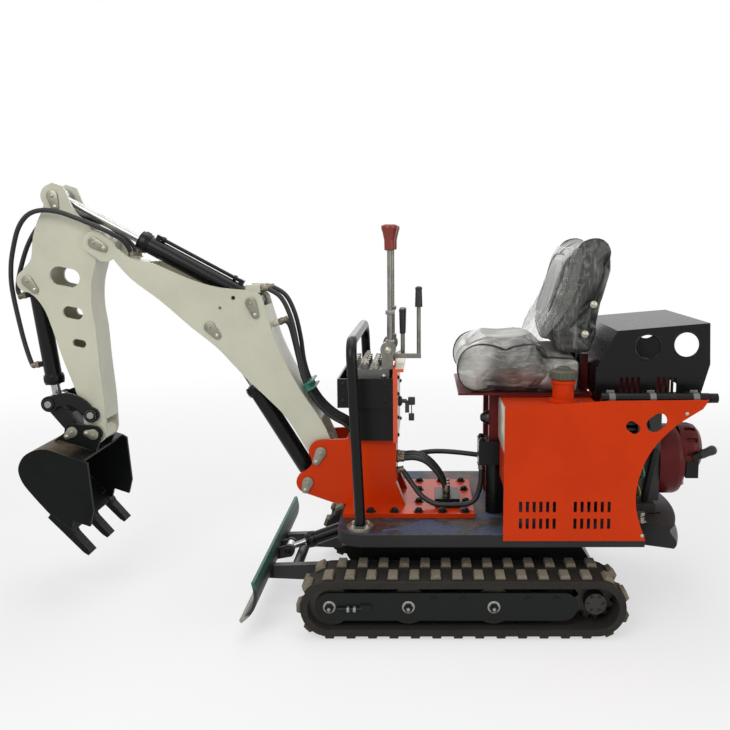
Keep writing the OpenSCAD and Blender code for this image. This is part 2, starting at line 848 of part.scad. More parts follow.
module boom_frame() {
    color("Ivory") {
        difference() {
            union() {
                slabs(boom_in, boom_out) boom_plate();
                slab(-boom_in, boom_in) edge_strip(boom_top, 4, 7, 10);
                slab(-boom_in, boom_in) edge_strip(boom_rear, 2, 16, 10);
                slab(-boom_in, boom_in) edge_strip(boom_under, 25, 31, 10);
                both_sides() crossbar(boom_foot, 38, 38, boom_out);
            }
            crossbar(boom_foot, pin_r + fit, -boom_out - 1, boom_out + 1);
        }
        both_sides() {
            lock_plate(boom_cyl_pin, [-25, -29], boom_out);
            lock_plate(arm_cyl_base, [-14, -40], boom_out);
            lock_plate(arm_pivot, [-33, -19], boom_out);
        }
        crossbar(arm_cyl_base, pin_r, -boom_in, boom_in);
        crossbar(arm_pivot, pin_r, -boom_out, boom_out);
        // Ports for the hoses on the boom's back
        both_sides() {
            block([674, 40, 1054], [724, boom_in, 1080]);
            along([638, 944], [600, 955]) translate([0, 17, -8]) cylinder(r = 10, h = 26);
        }
    }
}

module boom_hoses() {
    color("Black") both_sides() {
        hose([[372, 52, 557.4], [372, 52, 573], [394, 52, 598], [438, 52, 624], [477, 52, 659],
            [508, 52, 702], [532, 52, 752], [548, 52, 812], [558, 52, 890], [576, 52, 972],
            [606, 52, 1036], [650, 52, 1066], [673.6, 52, 1067]], 8);
        hose([[372, 18, 557.4], [372, 18, 573], [394, 18, 596], [438, 18, 621], [478, 18, 656],
            [510, 17, 700], [535, 17, 750], [553, 17, 808], [569, 17, 880], [585, 17, 940],
            [604, 17, 954.6], [619.8, 17, 949.8]], 8);
    }
}

module boom_barrel() {
    color("Black") barrel(boom_cyl_base, boom_cyl_pin, barrel_r, 377, rod_r + rod_gap, king_in - 8);
}

module boom_rod() {
    color("LightGray") rod(boom_cyl_base, boom_cyl_pin, 380, rod_r, 28, boom_in - 12);
}

arm_front = curve([[1362, 1420], [1392, 1392], [1392, 1343], [1417, 1288], [1433, 1240], [1443, 1170],
    [1468, 1137], [1492, 1112]], 4);
arm_low = curve([[1485, 1068], [1440, 1042], [1407, 995], [1384, 929], [1351, 820], [1318, 725], [1296, 640],
    [1292, 569]], 4);
arm_rear = curve([[1217, 569], [1220, 682], [1231, 820], [1237, 929], [1247, 1010], [1243, 1091],
    [1226, 1155], [1222, 1210], [1251, 1287], [1283, 1317], [1303, 1353], [1315, 1383], [1325, 1408]], 4);

module arm_plate() {
    difference() {
        union() {
            polygon(concat(arm_front, arm_low, arm_rear));
            spot(arm_cyl_pin, 40);
            spot(arm_pivot, 42);
            spot(bucket_cyl_base, 38);
            spot(bucket_pivot, 36);
        }
        translate([1333, 1107]) rotate(12) bar_shape([-20, 0], [20, 0], 31);
        translate([1312, 985]) rotate(12) bar_shape([-14, 0], [14, 0], 20);
        translate([1295, 881]) rotate(12) bar_shape([-10, 0], [10, 0], 13);
    }
}

module arm_frame() {
    color("Ivory") {
        difference() {
            union() {
                slabs(arm_half_w - plate_t, arm_half_w) arm_plate();
                slab(plate_t - arm_half_w, arm_half_w - plate_t) edge_strip(arm_low, 8, 24, -10);
                slab(plate_t - arm_half_w, arm_half_w - plate_t) edge_strip(arm_rear, 2, 29, -10);
                crossbar(arm_pivot, 40, -arm_half_w, arm_half_w);
                crossbar(rocker_pivot, 28, -arm_half_w, arm_half_w);
                crossbar(bucket_pivot, 34, -arm_half_w, arm_half_w);
            }
            crossbar(arm_pivot, pin_r + fit, -arm_half_w - 1, arm_half_w + 1);
            crossbar(bucket_pivot, pin_r + fit, -arm_half_w - 1, arm_half_w + 1);
        }
        both_sides() {
            crossbar(rocker_pivot, pin_r, arm_half_w, rocker_out);
            crossbar(rocker_pivot, 19, rocker_out + 0.5, rocker_out + 6);
            crossbar(rocker_pivot, pin_r, rocker_out, rocker_out + 1);
            lock_plate(arm_cyl_pin, [-8, -36], arm_half_w);
            lock_plate(bucket_cyl_base, [-24, -29], arm_half_w);
        }
        crossbar(bucket_cyl_base, pin_r, -arm_half_w, arm_half_w);
    }
}

module loop_hoses() {
    color("Black") {
        hose([[1112, 33, 1176], [1116, 33, 1190], [1130, 54, 1226], [1160, 84, 1252], [1210, 96, 1278],
            [1270, 96, 1303], [1330, 94, 1323], [1390, 88, 1328], [1440, 76, 1312], [1480, 60, 1270],
            [1508, 44, 1206], [1526, 32, 1140], [1530, 24, 1060], [1516, 10, 930], [1502, 3, 850],
            [1486.2, 0, 796.9], [1474.8, 0, 798.4], [1463.4, 0, 799.89]], 8);
        hose([[1112, -33, 1176], [1116, -33, 1190], [1150, -33, 1232], [1215, -33, 1280], [1290, -34, 1306],
            [1391, -34, 1316], [1440, -34, 1294], [1490, -32, 1222], [1520, -26, 1136], [1528, -12, 1068],
            [1514, 0, 1040], [1495.2, 0, 1042.6]], 8);
    }
}

module arm_barrel() {
    color("Black") {
        barrel(arm_cyl_base, arm_cyl_pin, barrel_r, 442, rod_r + rod_gap, boom_in - 8);
        along(arm_cyl_base, arm_cyl_pin) {
            translate([-barrel_r - 8, 0, 68]) cylinder(r = 6, h = 324);
            for (z = [64, 380])
                translate([-barrel_r - 16, -10, z]) cube([22, 20, 16]);
        }
    }
}

module arm_rod() {
    color("LightGray") rod(arm_cyl_base, arm_cyl_pin, 380, rod_r, 28, arm_half_w - plate_t - 8);
}

module bucket_barrel() {
    color("Black") {
        barrel(bucket_cyl_base, link_pin, barrel_r - 2, 363, rod_r + rod_gap, arm_half_w - plate_t - 4);
        // Ports for the hoses
        along(bucket_cyl_base, link_pin)
            for (z = [46, 290])
                translate([-barrel_r + 7, 0, z]) rotate([0, -90, 0]) cylinder(r = 10, h = 19);
    }
}

module bucket_rod() {
    color("LightGray") rod(bucket_cyl_base, link_pin, 300, rod_r, 26, 26);
}

rocker_line = curve([rocker_pivot, [1298, 674], [1348, 692], link_pin], 5);

module rocker() {
    color("Black") slabs(rocker_in, rocker_out) difference() {
        union() {
            polygon(concat(beside(rocker_line, 20), backwards(beside(rocker_line, -20))));
            spot(rocker_pivot, 26);
            spot(link_pin, 27);
        }
        spot(rocker_pivot, pin_r + fit);
    }
    color("Black") both_sides() crossbar(link_pin, 19, rocker_out, rocker_out + 6);
}

module link() {
    color("Black") difference() {
        union() {
            slabs(34, arm_half_w - 4) bar_shape(link_pin, bucket_link, 24);
            slab(-34, 34) bar_shape(link_pin + 0.58 * (bucket_link - link_pin), bucket_link, 18);
        }
        crossbar(bucket_link, pin_r + fit, -arm_half_w, arm_half_w);
    }
}

bucket_back = curve([[1252, 506], [1300, 521], [1376, 545], [1436, 528], [1464, 484], [1455, 436],
    [1420, 386], [1369, 325], [1336, 290], [1303, 256]], 5);
bucket_mouth = [[1303, 256], [1291, 300], [1236, 281], [1223, 333], [1236, 496], [1252, 506]];

module teeth() {
    for (i = [0 : tooth_count - 1])
        translate([0, (i / (tooth_count - 1) - 0.5) * (bucket_w - 46), 0])
            slab(-23, 23) polygon([[1364, 327], [1375, 312], [1262, 192], [1246, 181],
                [1236, 190], [1288, 252], [1294, 265]]);
}

module bucket_shell() {
    color("DarkSlateGray") {
        difference() {
            union() {
                slabs(half_bucket - 12, half_bucket) polygon(concat(bucket_back, bucket_mouth));
                slab(12 - half_bucket, half_bucket - 12)
                    polygon(concat(bucket_back, backwards(beside(bucket_back, -10))));
            }
            teeth();
        }
        slabs(ear_in, ear_out) {
            bar_shape(bucket_pivot, bucket_link, 28);
            polygon([[1228, 566], [1352, 577], [1392, 546], [1300, 521], [1250, 506]]);
        }
        both_sides() {
            lock_plate(bucket_pivot, [22, 5], ear_out, 10);
            lock_plate(bucket_link, [18, -15], ear_out, 10);
        }
        crossbar(bucket_pivot, pin_r, -ear_out, ear_out);
        crossbar(bucket_link, pin_r, -ear_out, ear_out);
    }
}

module bucket_teeth() {
    color("Gray") teeth();
}

in_frame() track_left();
in_frame() track_right();
in_frame() track_frame_left();
in_frame() track_frame_right();
in_frame() idlers();
in_frame() sprockets();
in_frame() road_rollers();
in_frame() travel_motors();
in_frame() carbody();
in_frame() slew_ring_lower();
in_frame() blade();
in_frame() blade_barrel();
in_frame() blade_rod();
in_frame() deck();
in_frame() slew_ring_upper();
in_frame() tail_weight();
in_frame() kingpost();
in_frame() console_box();
in_frame() valve_bank();
in_frame() long_levers();
in_frame() short_levers();
in_frame() dash_panel();
in_frame() handrail();
in_frame() side_panels();
in_frame() tanks();
in_frame() rail_tubes();
in_frame() hood();
in_frame() engine_block();
in_frame() engine_shroud();
in_frame() pull_handle();
in_frame() pump_unit();
in_frame() manifold();
in_frame() seat_frame();
in_frame() seat_cushion();
in_frame() seat_back();
in_frame() deck_hoses();
in_frame() boom_frame();
in_frame() boom_hoses();
in_frame() boom_barrel();
in_frame() boom_rod();
in_frame() arm_frame();
in_frame() loop_hoses();
in_frame() arm_barrel();
in_frame() arm_rod();
in_frame() bucket_barrel();
in_frame() bucket_rod();
in_frame() bucket_shell();
in_frame() bucket_teeth();
in_frame() rocker();
in_frame() link();
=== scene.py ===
"""Finishes, hoses, seat and hardware of a small tracked excavator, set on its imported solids."""
import json
import logging
import math
from dataclasses import dataclass
from enum import Enum
from typing import Callable, Iterable, Sequence

import bpy
import numpy as np
from mathutils import Matrix, Vector


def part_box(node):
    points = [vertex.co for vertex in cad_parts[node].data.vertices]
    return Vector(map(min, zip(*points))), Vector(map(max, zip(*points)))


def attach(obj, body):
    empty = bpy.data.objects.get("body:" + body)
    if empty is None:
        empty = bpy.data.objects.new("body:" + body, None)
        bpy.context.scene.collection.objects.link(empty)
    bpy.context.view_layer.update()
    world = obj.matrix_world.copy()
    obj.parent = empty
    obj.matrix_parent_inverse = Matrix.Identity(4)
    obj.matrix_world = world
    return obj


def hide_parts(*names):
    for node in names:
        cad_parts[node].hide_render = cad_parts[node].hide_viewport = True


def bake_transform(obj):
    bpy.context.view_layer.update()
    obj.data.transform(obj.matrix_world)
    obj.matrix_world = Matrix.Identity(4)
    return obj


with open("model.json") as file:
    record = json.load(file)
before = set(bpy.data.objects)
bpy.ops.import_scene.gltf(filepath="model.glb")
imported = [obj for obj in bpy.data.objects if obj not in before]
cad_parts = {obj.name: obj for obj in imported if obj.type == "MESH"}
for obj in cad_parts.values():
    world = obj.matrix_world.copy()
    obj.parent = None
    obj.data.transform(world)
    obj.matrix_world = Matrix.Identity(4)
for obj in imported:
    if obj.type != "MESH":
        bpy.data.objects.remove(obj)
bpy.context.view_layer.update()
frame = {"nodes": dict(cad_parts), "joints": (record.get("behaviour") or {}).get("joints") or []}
LOG = logging.getLogger("mini_excavator")
MM = 0.001
JOINTS = {joint["name"]: joint for joint in frame["joints"]}
SLEW_X = JOINTS["slew"]["pos_m"][0]
Colour = tuple[float, float, float, float]
Profile = Sequence[tuple[float, float]]
Route = Sequence[tuple[float, float, float]]
Place = tuple[Vector, Vector]
Piece = bpy.types.Object


def srgb(red: int, green: int, blue: int) -> Colour:
    """Turns a display colour into the linear one that shaders use.

    Args:
        red, green, blue: display values from 0 to 255.

    Returns:
        The linear colour with full alpha.
    """
    def linear(level: int) -> float:
        """Linear light of one display level."""
        share = level / 255
        return share / 12.92 if share <= 0.04045 else ((share + 0.055) / 1.055) ** 2.4
    return (linear(red), linear(green), linear(blue), 1.0)


def shade(colour: Colour, factor: float) -> Colour:
    """The same colour made darker or lighter by a factor."""
    return tuple(min(1.0, part * factor) for part in colour[:3]) + (1.0,)


def spot(x: float, y: float, z: float) -> Vector:
    """A point given in millimetres from the slew axis, in the frame's metres."""
    return Vector((x * MM + SLEW_X, y * MM, z * MM))


def curve(points: Sequence[Vector], steps: int) -> list[Vector]:
    """A smooth line through a few places.

    Args:
        points: the places.
        steps: points made from one place to the next.

    Returns:
        The line, which ends at the last place.
    """
    last = len(points) - 1
    line = []
    for i in range(last):
        a, b, c, d = (points[k] for k in (max(i - 1, 0), i, i + 1, min(i + 2, last)))
        for step in range(steps):
            t = step / steps
            bend = 2 * a - 5 * b + 4 * c - d
            line.append(0.5 * (2 * b + (c - a) * t + bend * t**2 + (3 * b - a - 3 * c + d) * t**3))
    return line + [points[-1]]


def declare_cord(line: Sequence[Vector], radius: float) -> None:
    """Works out the length and width of a stiff hose or wire with both ends in the machine, and keeps neither.

    Args:
        line: its middle line.
        radius: its radius in millimetres.
    """
    length = sum((end - start).length for start, end in zip(line, line[1:]))
    2 * radius * MM


class Axis(Enum):
    """The outputs of a split position."""

    X = 0
    Y = 1
    Z = 2


class Value:
    """A number that changes over a surface. Operators on it add Math nodes."""

    def __init__(self, surface: "Surface", socket: bpy.types.NodeSocket) -> None:
        """Wraps one output socket of a surface's tree."""
        self.surface = surface
        self.socket = socket

    def _math(self, operation: str, first: "Value | float", second: "Value | float" = 0.0) -> "Value":
        """Adds one Math node and wraps its result."""
        made = self.surface.node("ShaderNodeMath", {"operation": operation}, {0: first, 1: second})
        return Value(self.surface, made.outputs[0])

    def __add__(self, other: "Value | float") -> "Value":
        """Sum."""
        return self._math("ADD", self, other)

    def __radd__(self, other: float) -> "Value":
        """Sum, number first."""
        return self._math("ADD", other, self)

    def __sub__(self, other: "Value | float") -> "Value":
        """Difference."""
        return self._math("SUBTRACT", self, other)

    def __rsub__(self, other: float) -> "Value":
        """Difference, number first."""
        return self._math("SUBTRACT", other, self)

    def __mul__(self, other: "Value | float") -> "Value":
        """Product."""
        return self._math("MULTIPLY", self, other)

    def __rmul__(self, other: float) -> "Value":
        """Product, number first."""
        return self._math("MULTIPLY", other, self)

    def __abs__(self) -> "Value":
        """Size without sign."""
        return self._math("ABSOLUTE", self)

    def __pow__(self, power: float) -> "Value":
        """Power."""
        return self._math("POWER", self, power)

    def at_least(self, other: "Value | float") -> "Value":
        """The larger of the two."""
        return self._math("MAXIMUM", self, other)

    def at_most(self, other: "Value | float") -> "Value":
        """The smaller of the two."""
        return self._math("MINIMUM", self, other)

    def step(self, low: float, high: float) -> "Value":
        """A soft step from 0 at low to 1 at high.

        Args:
            low: value that gives 0; it may lie above high.
            high: value that gives 1.

        Returns:
            The stepped value, from 0 to 1.
        """
        made = self.surface.node(
            "ShaderNodeMapRange",
            {"interpolation_type": "SMOOTHSTEP", "clamp": True},
            {"Value": self, "From Min": low, "From Max": high},
        )
        return Value(self.surface, made.outputs[0])


class Surface:
    """A material while it is being made."""

    def __init__(self, name: str) -> None:
        """Starts an empty material.

        Args:
            name: the material's name.
        """
        self.material = bpy.data.materials.new(name)
        self.material.use_nodes = True
        self.tree = self.material.node_tree
        self.tree.nodes.clear()
        where = self.node("ShaderNodeTexCoord")
        self.place = where.outputs["Object"]
        self.normal = where.outputs["Normal"]
        self.split = self.node("ShaderNodeSeparateXYZ", {}, {0: self.place})

    def node(self, kind: str, settings: dict | None = None, sockets: dict | None = None) -> bpy.types.Node:
        """Adds a node.

        Args:
            kind: the node's type.
            settings: properties that are set first.
            sockets: values or links, by input name or number.

        Returns:
            The new node.
        """
        made = self.tree.nodes.new(kind)
        for name, setting in (settings or {}).items():
            setattr(made, name, setting)
        for key, value in (sockets or {}).items():
            source = value.socket if isinstance(value, Value) else value
            if isinstance(source, bpy.types.NodeSocket):
                self.tree.links.new(source, made.inputs[key])
            else:
                made.inputs[key].default_value = source
        return made

    def axis(self, axis: Axis) -> Value:
        """The position along one axis, in metres."""
        return Value(self, self.split.outputs[axis.value])

    def upward(self) -> Value:
        """How far the surface faces up, from -1 to 1."""
        made = self.node("ShaderNodeSeparateXYZ", {}, {0: self.normal})
        return Value(self, made.outputs[2])

    def noise(self, scale: float, detail: float = 3.0, stretch: Sequence[float] = (1, 1, 1)) -> Value:
        """Smooth noise.

        Args:
            scale: waves to a metre.
            detail: number of finer layers.
            stretch: scale of the pattern along each axis.

        Returns:
            The noise, about 0.5 in the mean.
        """
        vector = self.node("ShaderNodeMapping", {}, {"Vector": self.place, "Scale": tuple(stretch)})
        made = self.node(
            "ShaderNodeTexNoise", {},
            {"Vector": vector.outputs[0], "Scale": scale, "Detail": detail, "Roughness": 0.6},
        )
        return Value(self, made.outputs[0])

    def cells(self, scale: float) -> Value:
        """Distance to the nearest of scattered points, for pits and flakes."""
        made = self.node("ShaderNodeTexVoronoi", {}, {"Vector": self.place, "Scale": scale})
        return Value(self, made.outputs["Distance"])

    def edges(self, radius: float) -> tuple[Value, bpy.types.NodeSocket]:
        """Finds the sharp edges.

        Args:
            radius: how far an edge reaches, in metres.

        Returns:
            A mask that is high along edges, and the normal with rounded edges.
        """
        rounded = self.node("ShaderNodeBevel", {"samples": 4}, {"Radius": radius}).outputs[0]
        plain = self.node("ShaderNodeNewGeometry").outputs["Normal"]
        dot = self.node("ShaderNodeVectorMath", {"operation": "DOT_PRODUCT"}, {0: rounded, 1: plain})
        return 1.0 - Value(self, dot.outputs["Value"]), rounded

    def mix(self, mask: Value, under: object, over: object) -> bpy.types.NodeSocket:
        """Lays one colour over another.

        Args:
            mask: how much of the upper colour shows.
            under: lower colour, a link or a constant.
            over: upper colour, a link or a constant.

        Returns:
            The mixed colour.
        """
        made = self.node("ShaderNodeMix", {"data_type": "RGBA"}, {0: mask, 6: under, 7: over})
        return made.outputs[2]

    def close(
        self, colour: object, roughness: object, metallic: object = 0.0, height: Value | None = None,
        depth: float = 0.0004, normal: bpy.types.NodeSocket | None = None, **constants: float,
    ) -> bpy.types.Material:
        """Joins everything to the shader.

        Args:
            colour: base colour.
            roughness: roughness.
            metallic: metal share.
            height: relief for the bump.
            depth: depth of the relief in metres.
            normal: normal that the bump starts from.
            constants: other numbers of the shader, by name with _ for spaces.

        Returns:
            The finished material.
        """
        sockets = {"Base Color": colour, "Roughness": roughness, "Metallic": metallic}
        for name, number in constants.items():
            sockets[name.replace("_", " ").title().replace("Ior", "IOR")] = number
        if height is not None:
            relief = {"Height": height, "Distance": depth, "Strength": 1.0}
            if normal is not None:
                relief["Normal"] = normal
            normal = self.node("ShaderNodeBump", {}, relief).outputs[0]
        if normal is not None:
            sockets["Normal"] = normal
        shader = self.node("ShaderNodeBsdfPrincipled", {}, sockets)
        self.node("ShaderNodeOutputMaterial", {}, {"Surface": shader.outputs[0]})
        return self.material


@dataclass(frozen=True)
class Paint:
    """Sprayed paint with clouding, chips along edges, dust on top and faint orange peel."""

    name: str
    colour: Colour
    under: Colour = srgb(96, 92, 88)
    dust: Colour = srgb(150, 138, 120)
    roughness: float = 0.30
    coat: float = 0.15
    chips: float = 0.35
    dusty: float = 0.12
    gloss: float = 0.4

    def build(self) -> bpy.types.Material:
        """Makes the material."""
        skin = Surface(self.name)
        cloud = skin.noise(5.0, 4.0)
        speck = skin.noise(70.0, 5.0)
        peel = skin.noise(520.0, 1.0)
        edge, rounded = skin.edges(0.0022)
        chip = (edge * 4.0 + speck - 1.05).step(0.0, 0.25) * self.chips
        settled = (skin.upward() * 0.6 + cloud + speck * 0.5).step(0.85, 1.45) * self.dusty
        colour = skin.mix(cloud.step(0.35, 0.75), self.colour, shade(self.colour, 0.88))
        colour = skin.mix(settled, colour, self.dust)
        colour = skin.mix(chip, colour, self.under)
        roughness = self.roughness + settled * 0.35 + chip * 0.3 + (speck - 0.5) * 0.12
        return skin.close(
            colour, roughness, 0.0, peel * 0.1 - chip * 0.6, 0.0003, rounded,
            coat_weight=self.coat, coat_roughness=0.12, specular_ior_level=self.gloss,
        )


@dataclass(frozen=True)
class Metal:
    """Bare metal with brushed lines, stains and a soft cast grain."""

    name: str
    colour: Colour
    stain: Colour = srgb(88, 74, 60)
    roughness: float = 0.38
    stains: float = 0.3
    grain: float = 0.3
    metallic: float = 0.9
    lines: tuple[float, float, float] = (1.0, 6.0, 1.0)

    def build(self) -> bpy.types.Material:
        """Makes the material."""
        skin = Surface(self.name)
        cloud = skin.noise(14.0, 5.0)
        brush = skin.noise(160.0, 3.0, self.lines)
        pits = skin.cells(420.0)
        edge, rounded = skin.edges(0.0015)
        stained = (cloud - edge * 0.8).step(0.50, 0.72) * self.stains
        colour = skin.mix(brush * 0.3, self.colour, shade(self.colour, 0.7))
        colour = skin.mix(stained, colour, self.stain)
        roughness = self.roughness + (brush - 0.5) * 0.2 + stained * 0.3
        metallic = self.metallic - stained * 0.6
        relief = brush * 0.3 + pits * self.grain
        return skin.close(colour, roughness, metallic, relief, 0.0003, rounded)


@dataclass(frozen=True)
class Rubber:
    """Matt rubber with fine grain, bloom and rubbed spots."""

    name: str
    colour: Colour
    bloom: Colour = srgb(70, 68, 64)
    roughness: float = 0.55
    ribs: float = 0.0

    def build(self) -> bpy.types.Material:
        """Makes the material."""
        skin = Surface(self.name)
        cloud = skin.noise(11.0, 4.0)
        grain = skin.noise(900.0, 2.0)
        weave = skin.noise(520.0, 1.0, (1.0, 0.35, 1.0))
        colour = skin.mix(cloud.step(0.5, 0.8) * 0.5, self.colour, self.bloom)
        roughness = self.roughness + (cloud - 0.5) * 0.25
        return skin.close(colour, roughness, 0.0, grain * 0.5 + weave * self.ribs, 0.0004)


@dataclass(frozen=True)
class TrackRubber:
    """Dusty belt rubber whose lugs are rubbed to a pale tan, which fades on the lower run as painted shade."""

    belt: Colour = srgb(44, 41, 37)
    lug: Colour = srgb(142, 133, 114)
    mud: Colour = srgb(78, 68, 56)
    lug_height: float = 16 * MM

    def build(self) -> bpy.types.Material:
        """Makes the material."""
        low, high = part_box("track_left")
        middle = (low + high) / 2
        reach = (high.z - low.z) / 2
        half_base = (high.x - low.x) / 2 - reach
        skin = Surface("track_rubber")
        cloud = skin.noise(9.0, 5.0)
        grit = skin.noise(150.0, 5.0)
        past = (abs(skin.axis(Axis.X) - middle.x) - half_base).at_least(0.0)
        rise = skin.axis(Axis.Z) - middle.z
        away = (past * past + rise * rise) ** 0.5
        face = reach - self.lug_height
        lug = away.step(face + 0.15 * self.lug_height, face + 0.5 * self.lug_height)
        # Painted shade: the lugs' tan fades to a quarter towards the lower run, which lies in shadow.
        worn = 0.25 + 0.75 * rise.step(-0.5 * reach, 0.3 * reach)
        rubbed = lug * worn * (grit + cloud * 0.5).step(0.35, 0.75)
        colour = skin.mix(cloud.step(0.4, 0.7), self.belt, shade(self.belt, 0.62))
        colour = skin.mix((grit * 0.6 + cloud * 0.4).step(0.52, 0.72) * 0.55, colour, self.mud)
        colour = skin.mix(rubbed * 0.8, colour, self.lug)
        roughness = 0.66 + grit * 0.25
        return skin.close(colour, roughness, 0.0, grit + cloud * 0.4, 0.0012, specular_ior_level=0.25)


@dataclass(frozen=True)
class DeckPaint:
    """Dark deck paint with blue and brown patches on its upper faces."""

    colour: Colour = srgb(34, 33, 34)
    blue: Colour = srgb(84, 94, 124)
    brown: Colour = srgb(100, 70, 54)
    steel: Colour = srgb(110, 108, 106)

    def build(self) -> bpy.types.Material:
        """Makes the material."""
        skin = Surface("deck_paint")
        cloud = skin.noise(4.5, 3.0)
        patch = skin.noise(7.0, 3.0)
        grit = skin.noise(130.0, 6.0)
        edge, rounded = skin.edges(0.003)
        top = skin.upward().step(0.4, 0.9)
        colour = skin.mix(cloud.step(0.35, 0.7), self.colour, shade(self.colour, 0.6))
        # Blue patches on upward faces only.
        blue = top * patch.step(0.47, 0.58) * (grit + cloud * 0.4).step(0.52, 0.80)
        brown = top * patch.step(0.52, 0.40) * (grit + cloud * 0.4).step(0.52, 0.82)
        colour = skin.mix(brown * 0.75, colour, self.brown)
        colour = skin.mix(blue * 0.8, colour, self.blue)
        worn = (edge * 4.0 + grit - 1.0).step(0.0, 0.3) * 0.6
        colour = skin.mix(worn, colour, self.steel)
        roughness = 0.42 + grit * 0.25 + blue * 0.2
        return skin.close(colour, roughness, 0.0, grit, 0.0006, rounded, specular_ior_level=0.3)


@dataclass(frozen=True)
class BucketPaint:
    """Dark worn paint, scraped to steel at the lip and tan with dust on the top plate."""

    colour: Colour = srgb(15, 19, 16)
    steel: Colour = srgb(96, 93, 87)
    tan: Colour = srgb(104, 92, 75)
    lip: float = 0.27
    crown: float = 0.515

    def build(self) -> bpy.types.Material:
        """Makes the material."""
        skin = Surface("bucket_paint")
        height = skin.axis(Axis.Z)
        cloud = skin.noise(8.0, 4.0)
        scrape = skin.noise(46.0, 5.0, (1.0, 0.25, 1.0))
        grit = skin.noise(240.0, 4.0)
        edge, rounded = skin.edges(0.003)
        worn = (height.step(self.lip, self.lip - 0.10) * 0.55 + edge * 2.5 + scrape - 1.1).step(0.0, 0.3)
        dusty = height.step(self.crown, self.crown + 0.02) * skin.upward().step(0.3, 0.8) * cloud.step(0.3, 0.6)
        colour = skin.mix(cloud.step(0.4, 0.7), self.colour, shade(self.colour, 0.55))
        colour = skin.mix(dusty * 0.8, colour, self.tan)
        colour = skin.mix(worn * 0.85, colour, self.steel)
        roughness = 0.40 + grit * 0.22 - worn * 0.1
        relief = grit * 0.6 + scrape * 0.4
        return skin.close(colour, roughness, worn * 0.8, relief, 0.0007, rounded, specular_ior_level=0.12)


@dataclass(frozen=True)
class BladePaint:
    """Black blade with a teal upper rim and a cutting edge worn to bare steel."""

    colour: Colour = srgb(26, 28, 27)
    rim: Colour = srgb(36, 92, 80)
    steel: Colour = srgb(150, 148, 142)
    edge_height: float = 0.088
    rim_height: float = 0.172

    def build(self) -> bpy.types.Material:
        """Makes the material."""
        skin = Surface("blade_paint")
        height = skin.axis(Axis.Z)
        forward = skin.axis(Axis.X)
        _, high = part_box("blade")
        cloud = skin.noise(9.0, 4.0)
        grit = skin.noise(190.0, 5.0)
        edge, rounded = skin.edges(0.0025)
        plate = forward.step(high.x - 0.075, high.x - 0.06)
        rubbed = plate * (height + (cloud - 0.5) * 0.03).step(self.edge_height, self.edge_height - 0.012)
        rim = plate * height.step(self.rim_height - 0.012, self.rim_height)
        colour = skin.mix(cloud.step(0.4, 0.7), self.colour, shade(self.colour, 0.6))
        colour = skin.mix(rim * 0.85, colour, self.rim)
        colour = skin.mix((edge * 3.0 + grit - 1.0).step(0.0, 0.3) * 0.5, colour, self.steel)
        colour = skin.mix(rubbed, colour, self.steel)
        roughness = 0.42 + grit * 0.2
        return skin.close(colour, roughness, rubbed * 0.9, grit, 0.0005, rounded)


@dataclass(frozen=True)
class DashPaint:
    """Cream dash face with an orange border and a dark switch."""

    face: Colour = srgb(222, 210, 184)
    border: Colour = srgb(222, 78, 34)
    switch: Colour = srgb(26, 26, 28)
    dust: Colour = srgb(120, 108, 92)

    def build(self) -> bpy.types.Material:
        """Makes the material."""
        skin = Surface("dash_paint")
        _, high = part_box("dash_panel")
        cloud = skin.noise(12.0, 4.0)
        speck = skin.noise(80.0, 5.0)
        _, rounded = skin.edges(0.002)
        side = abs(skin.axis(Axis.Y)).step(high.y - 0.006, high.y - 0.004)
        front = skin.axis(Axis.X).step(high.x - 0.009, high.x - 0.007)
        key = skin.axis(Axis.X).step(high.x - 0.016, high.x - 0.018) * skin.axis(Axis.Z).step(0.76, 0.75)
        colour = skin.mix(cloud.step(0.4, 0.75) * 0.5, self.face, shade(self.face, 0.78))
        colour = skin.mix(speck.step(0.62, 0.72) * 0.4, colour, self.dust)
        colour = skin.mix(side.at_least(front), colour, self.border)
        colour = skin.mix(key, colour, self.switch)
        return skin.close(colour, 0.34 + speck * 0.2, 0.0, speck * 0.4, 0.0003, rounded, coat_weight=0.2)


@dataclass(frozen=True)
class LeverFinish:
    """Plated lever with a coloured grip above a given height."""

    name: str
    grip: Colour
    grip_from: float
    grip_roughness: float = 0.32
    tall_from: float = 0.0
    tall_behind: float = -9.0
    steel: Colour = srgb(132, 130, 122)

    def build(self) -> bpy.types.Material:
        """Makes the material. Behind tall_behind the grip starts at tall_from."""
        skin = Surface(self.name)
        height = skin.axis(Axis.Z)
        tall = skin.axis(Axis.X).step(self.tall_behind + 0.005, self.tall_behind - 0.005)
        near = height.step(self.grip_from - 0.001, self.grip_from + 0.001)
        far = height.step(self.tall_from - 0.001, self.tall_from + 0.001)
        grip = near * (1.0 - tall) + far * tall
        cloud = skin.noise(30.0, 4.0)
        fine = skin.noise(600.0, 2.0)
        _, rounded = skin.edges(0.0012)
        metal = skin.mix(cloud.step(0.4, 0.7) * 0.6, self.steel, shade(self.steel, 0.55))
        colour = skin.mix(grip, metal, self.grip)
        roughness = 0.34 + (self.grip_roughness - 0.34) * grip + (cloud - 0.5) * 0.15
        return skin.close(colour, roughness, 0.9 - grip * 0.9, fine * 0.4, 0.0002, rounded)


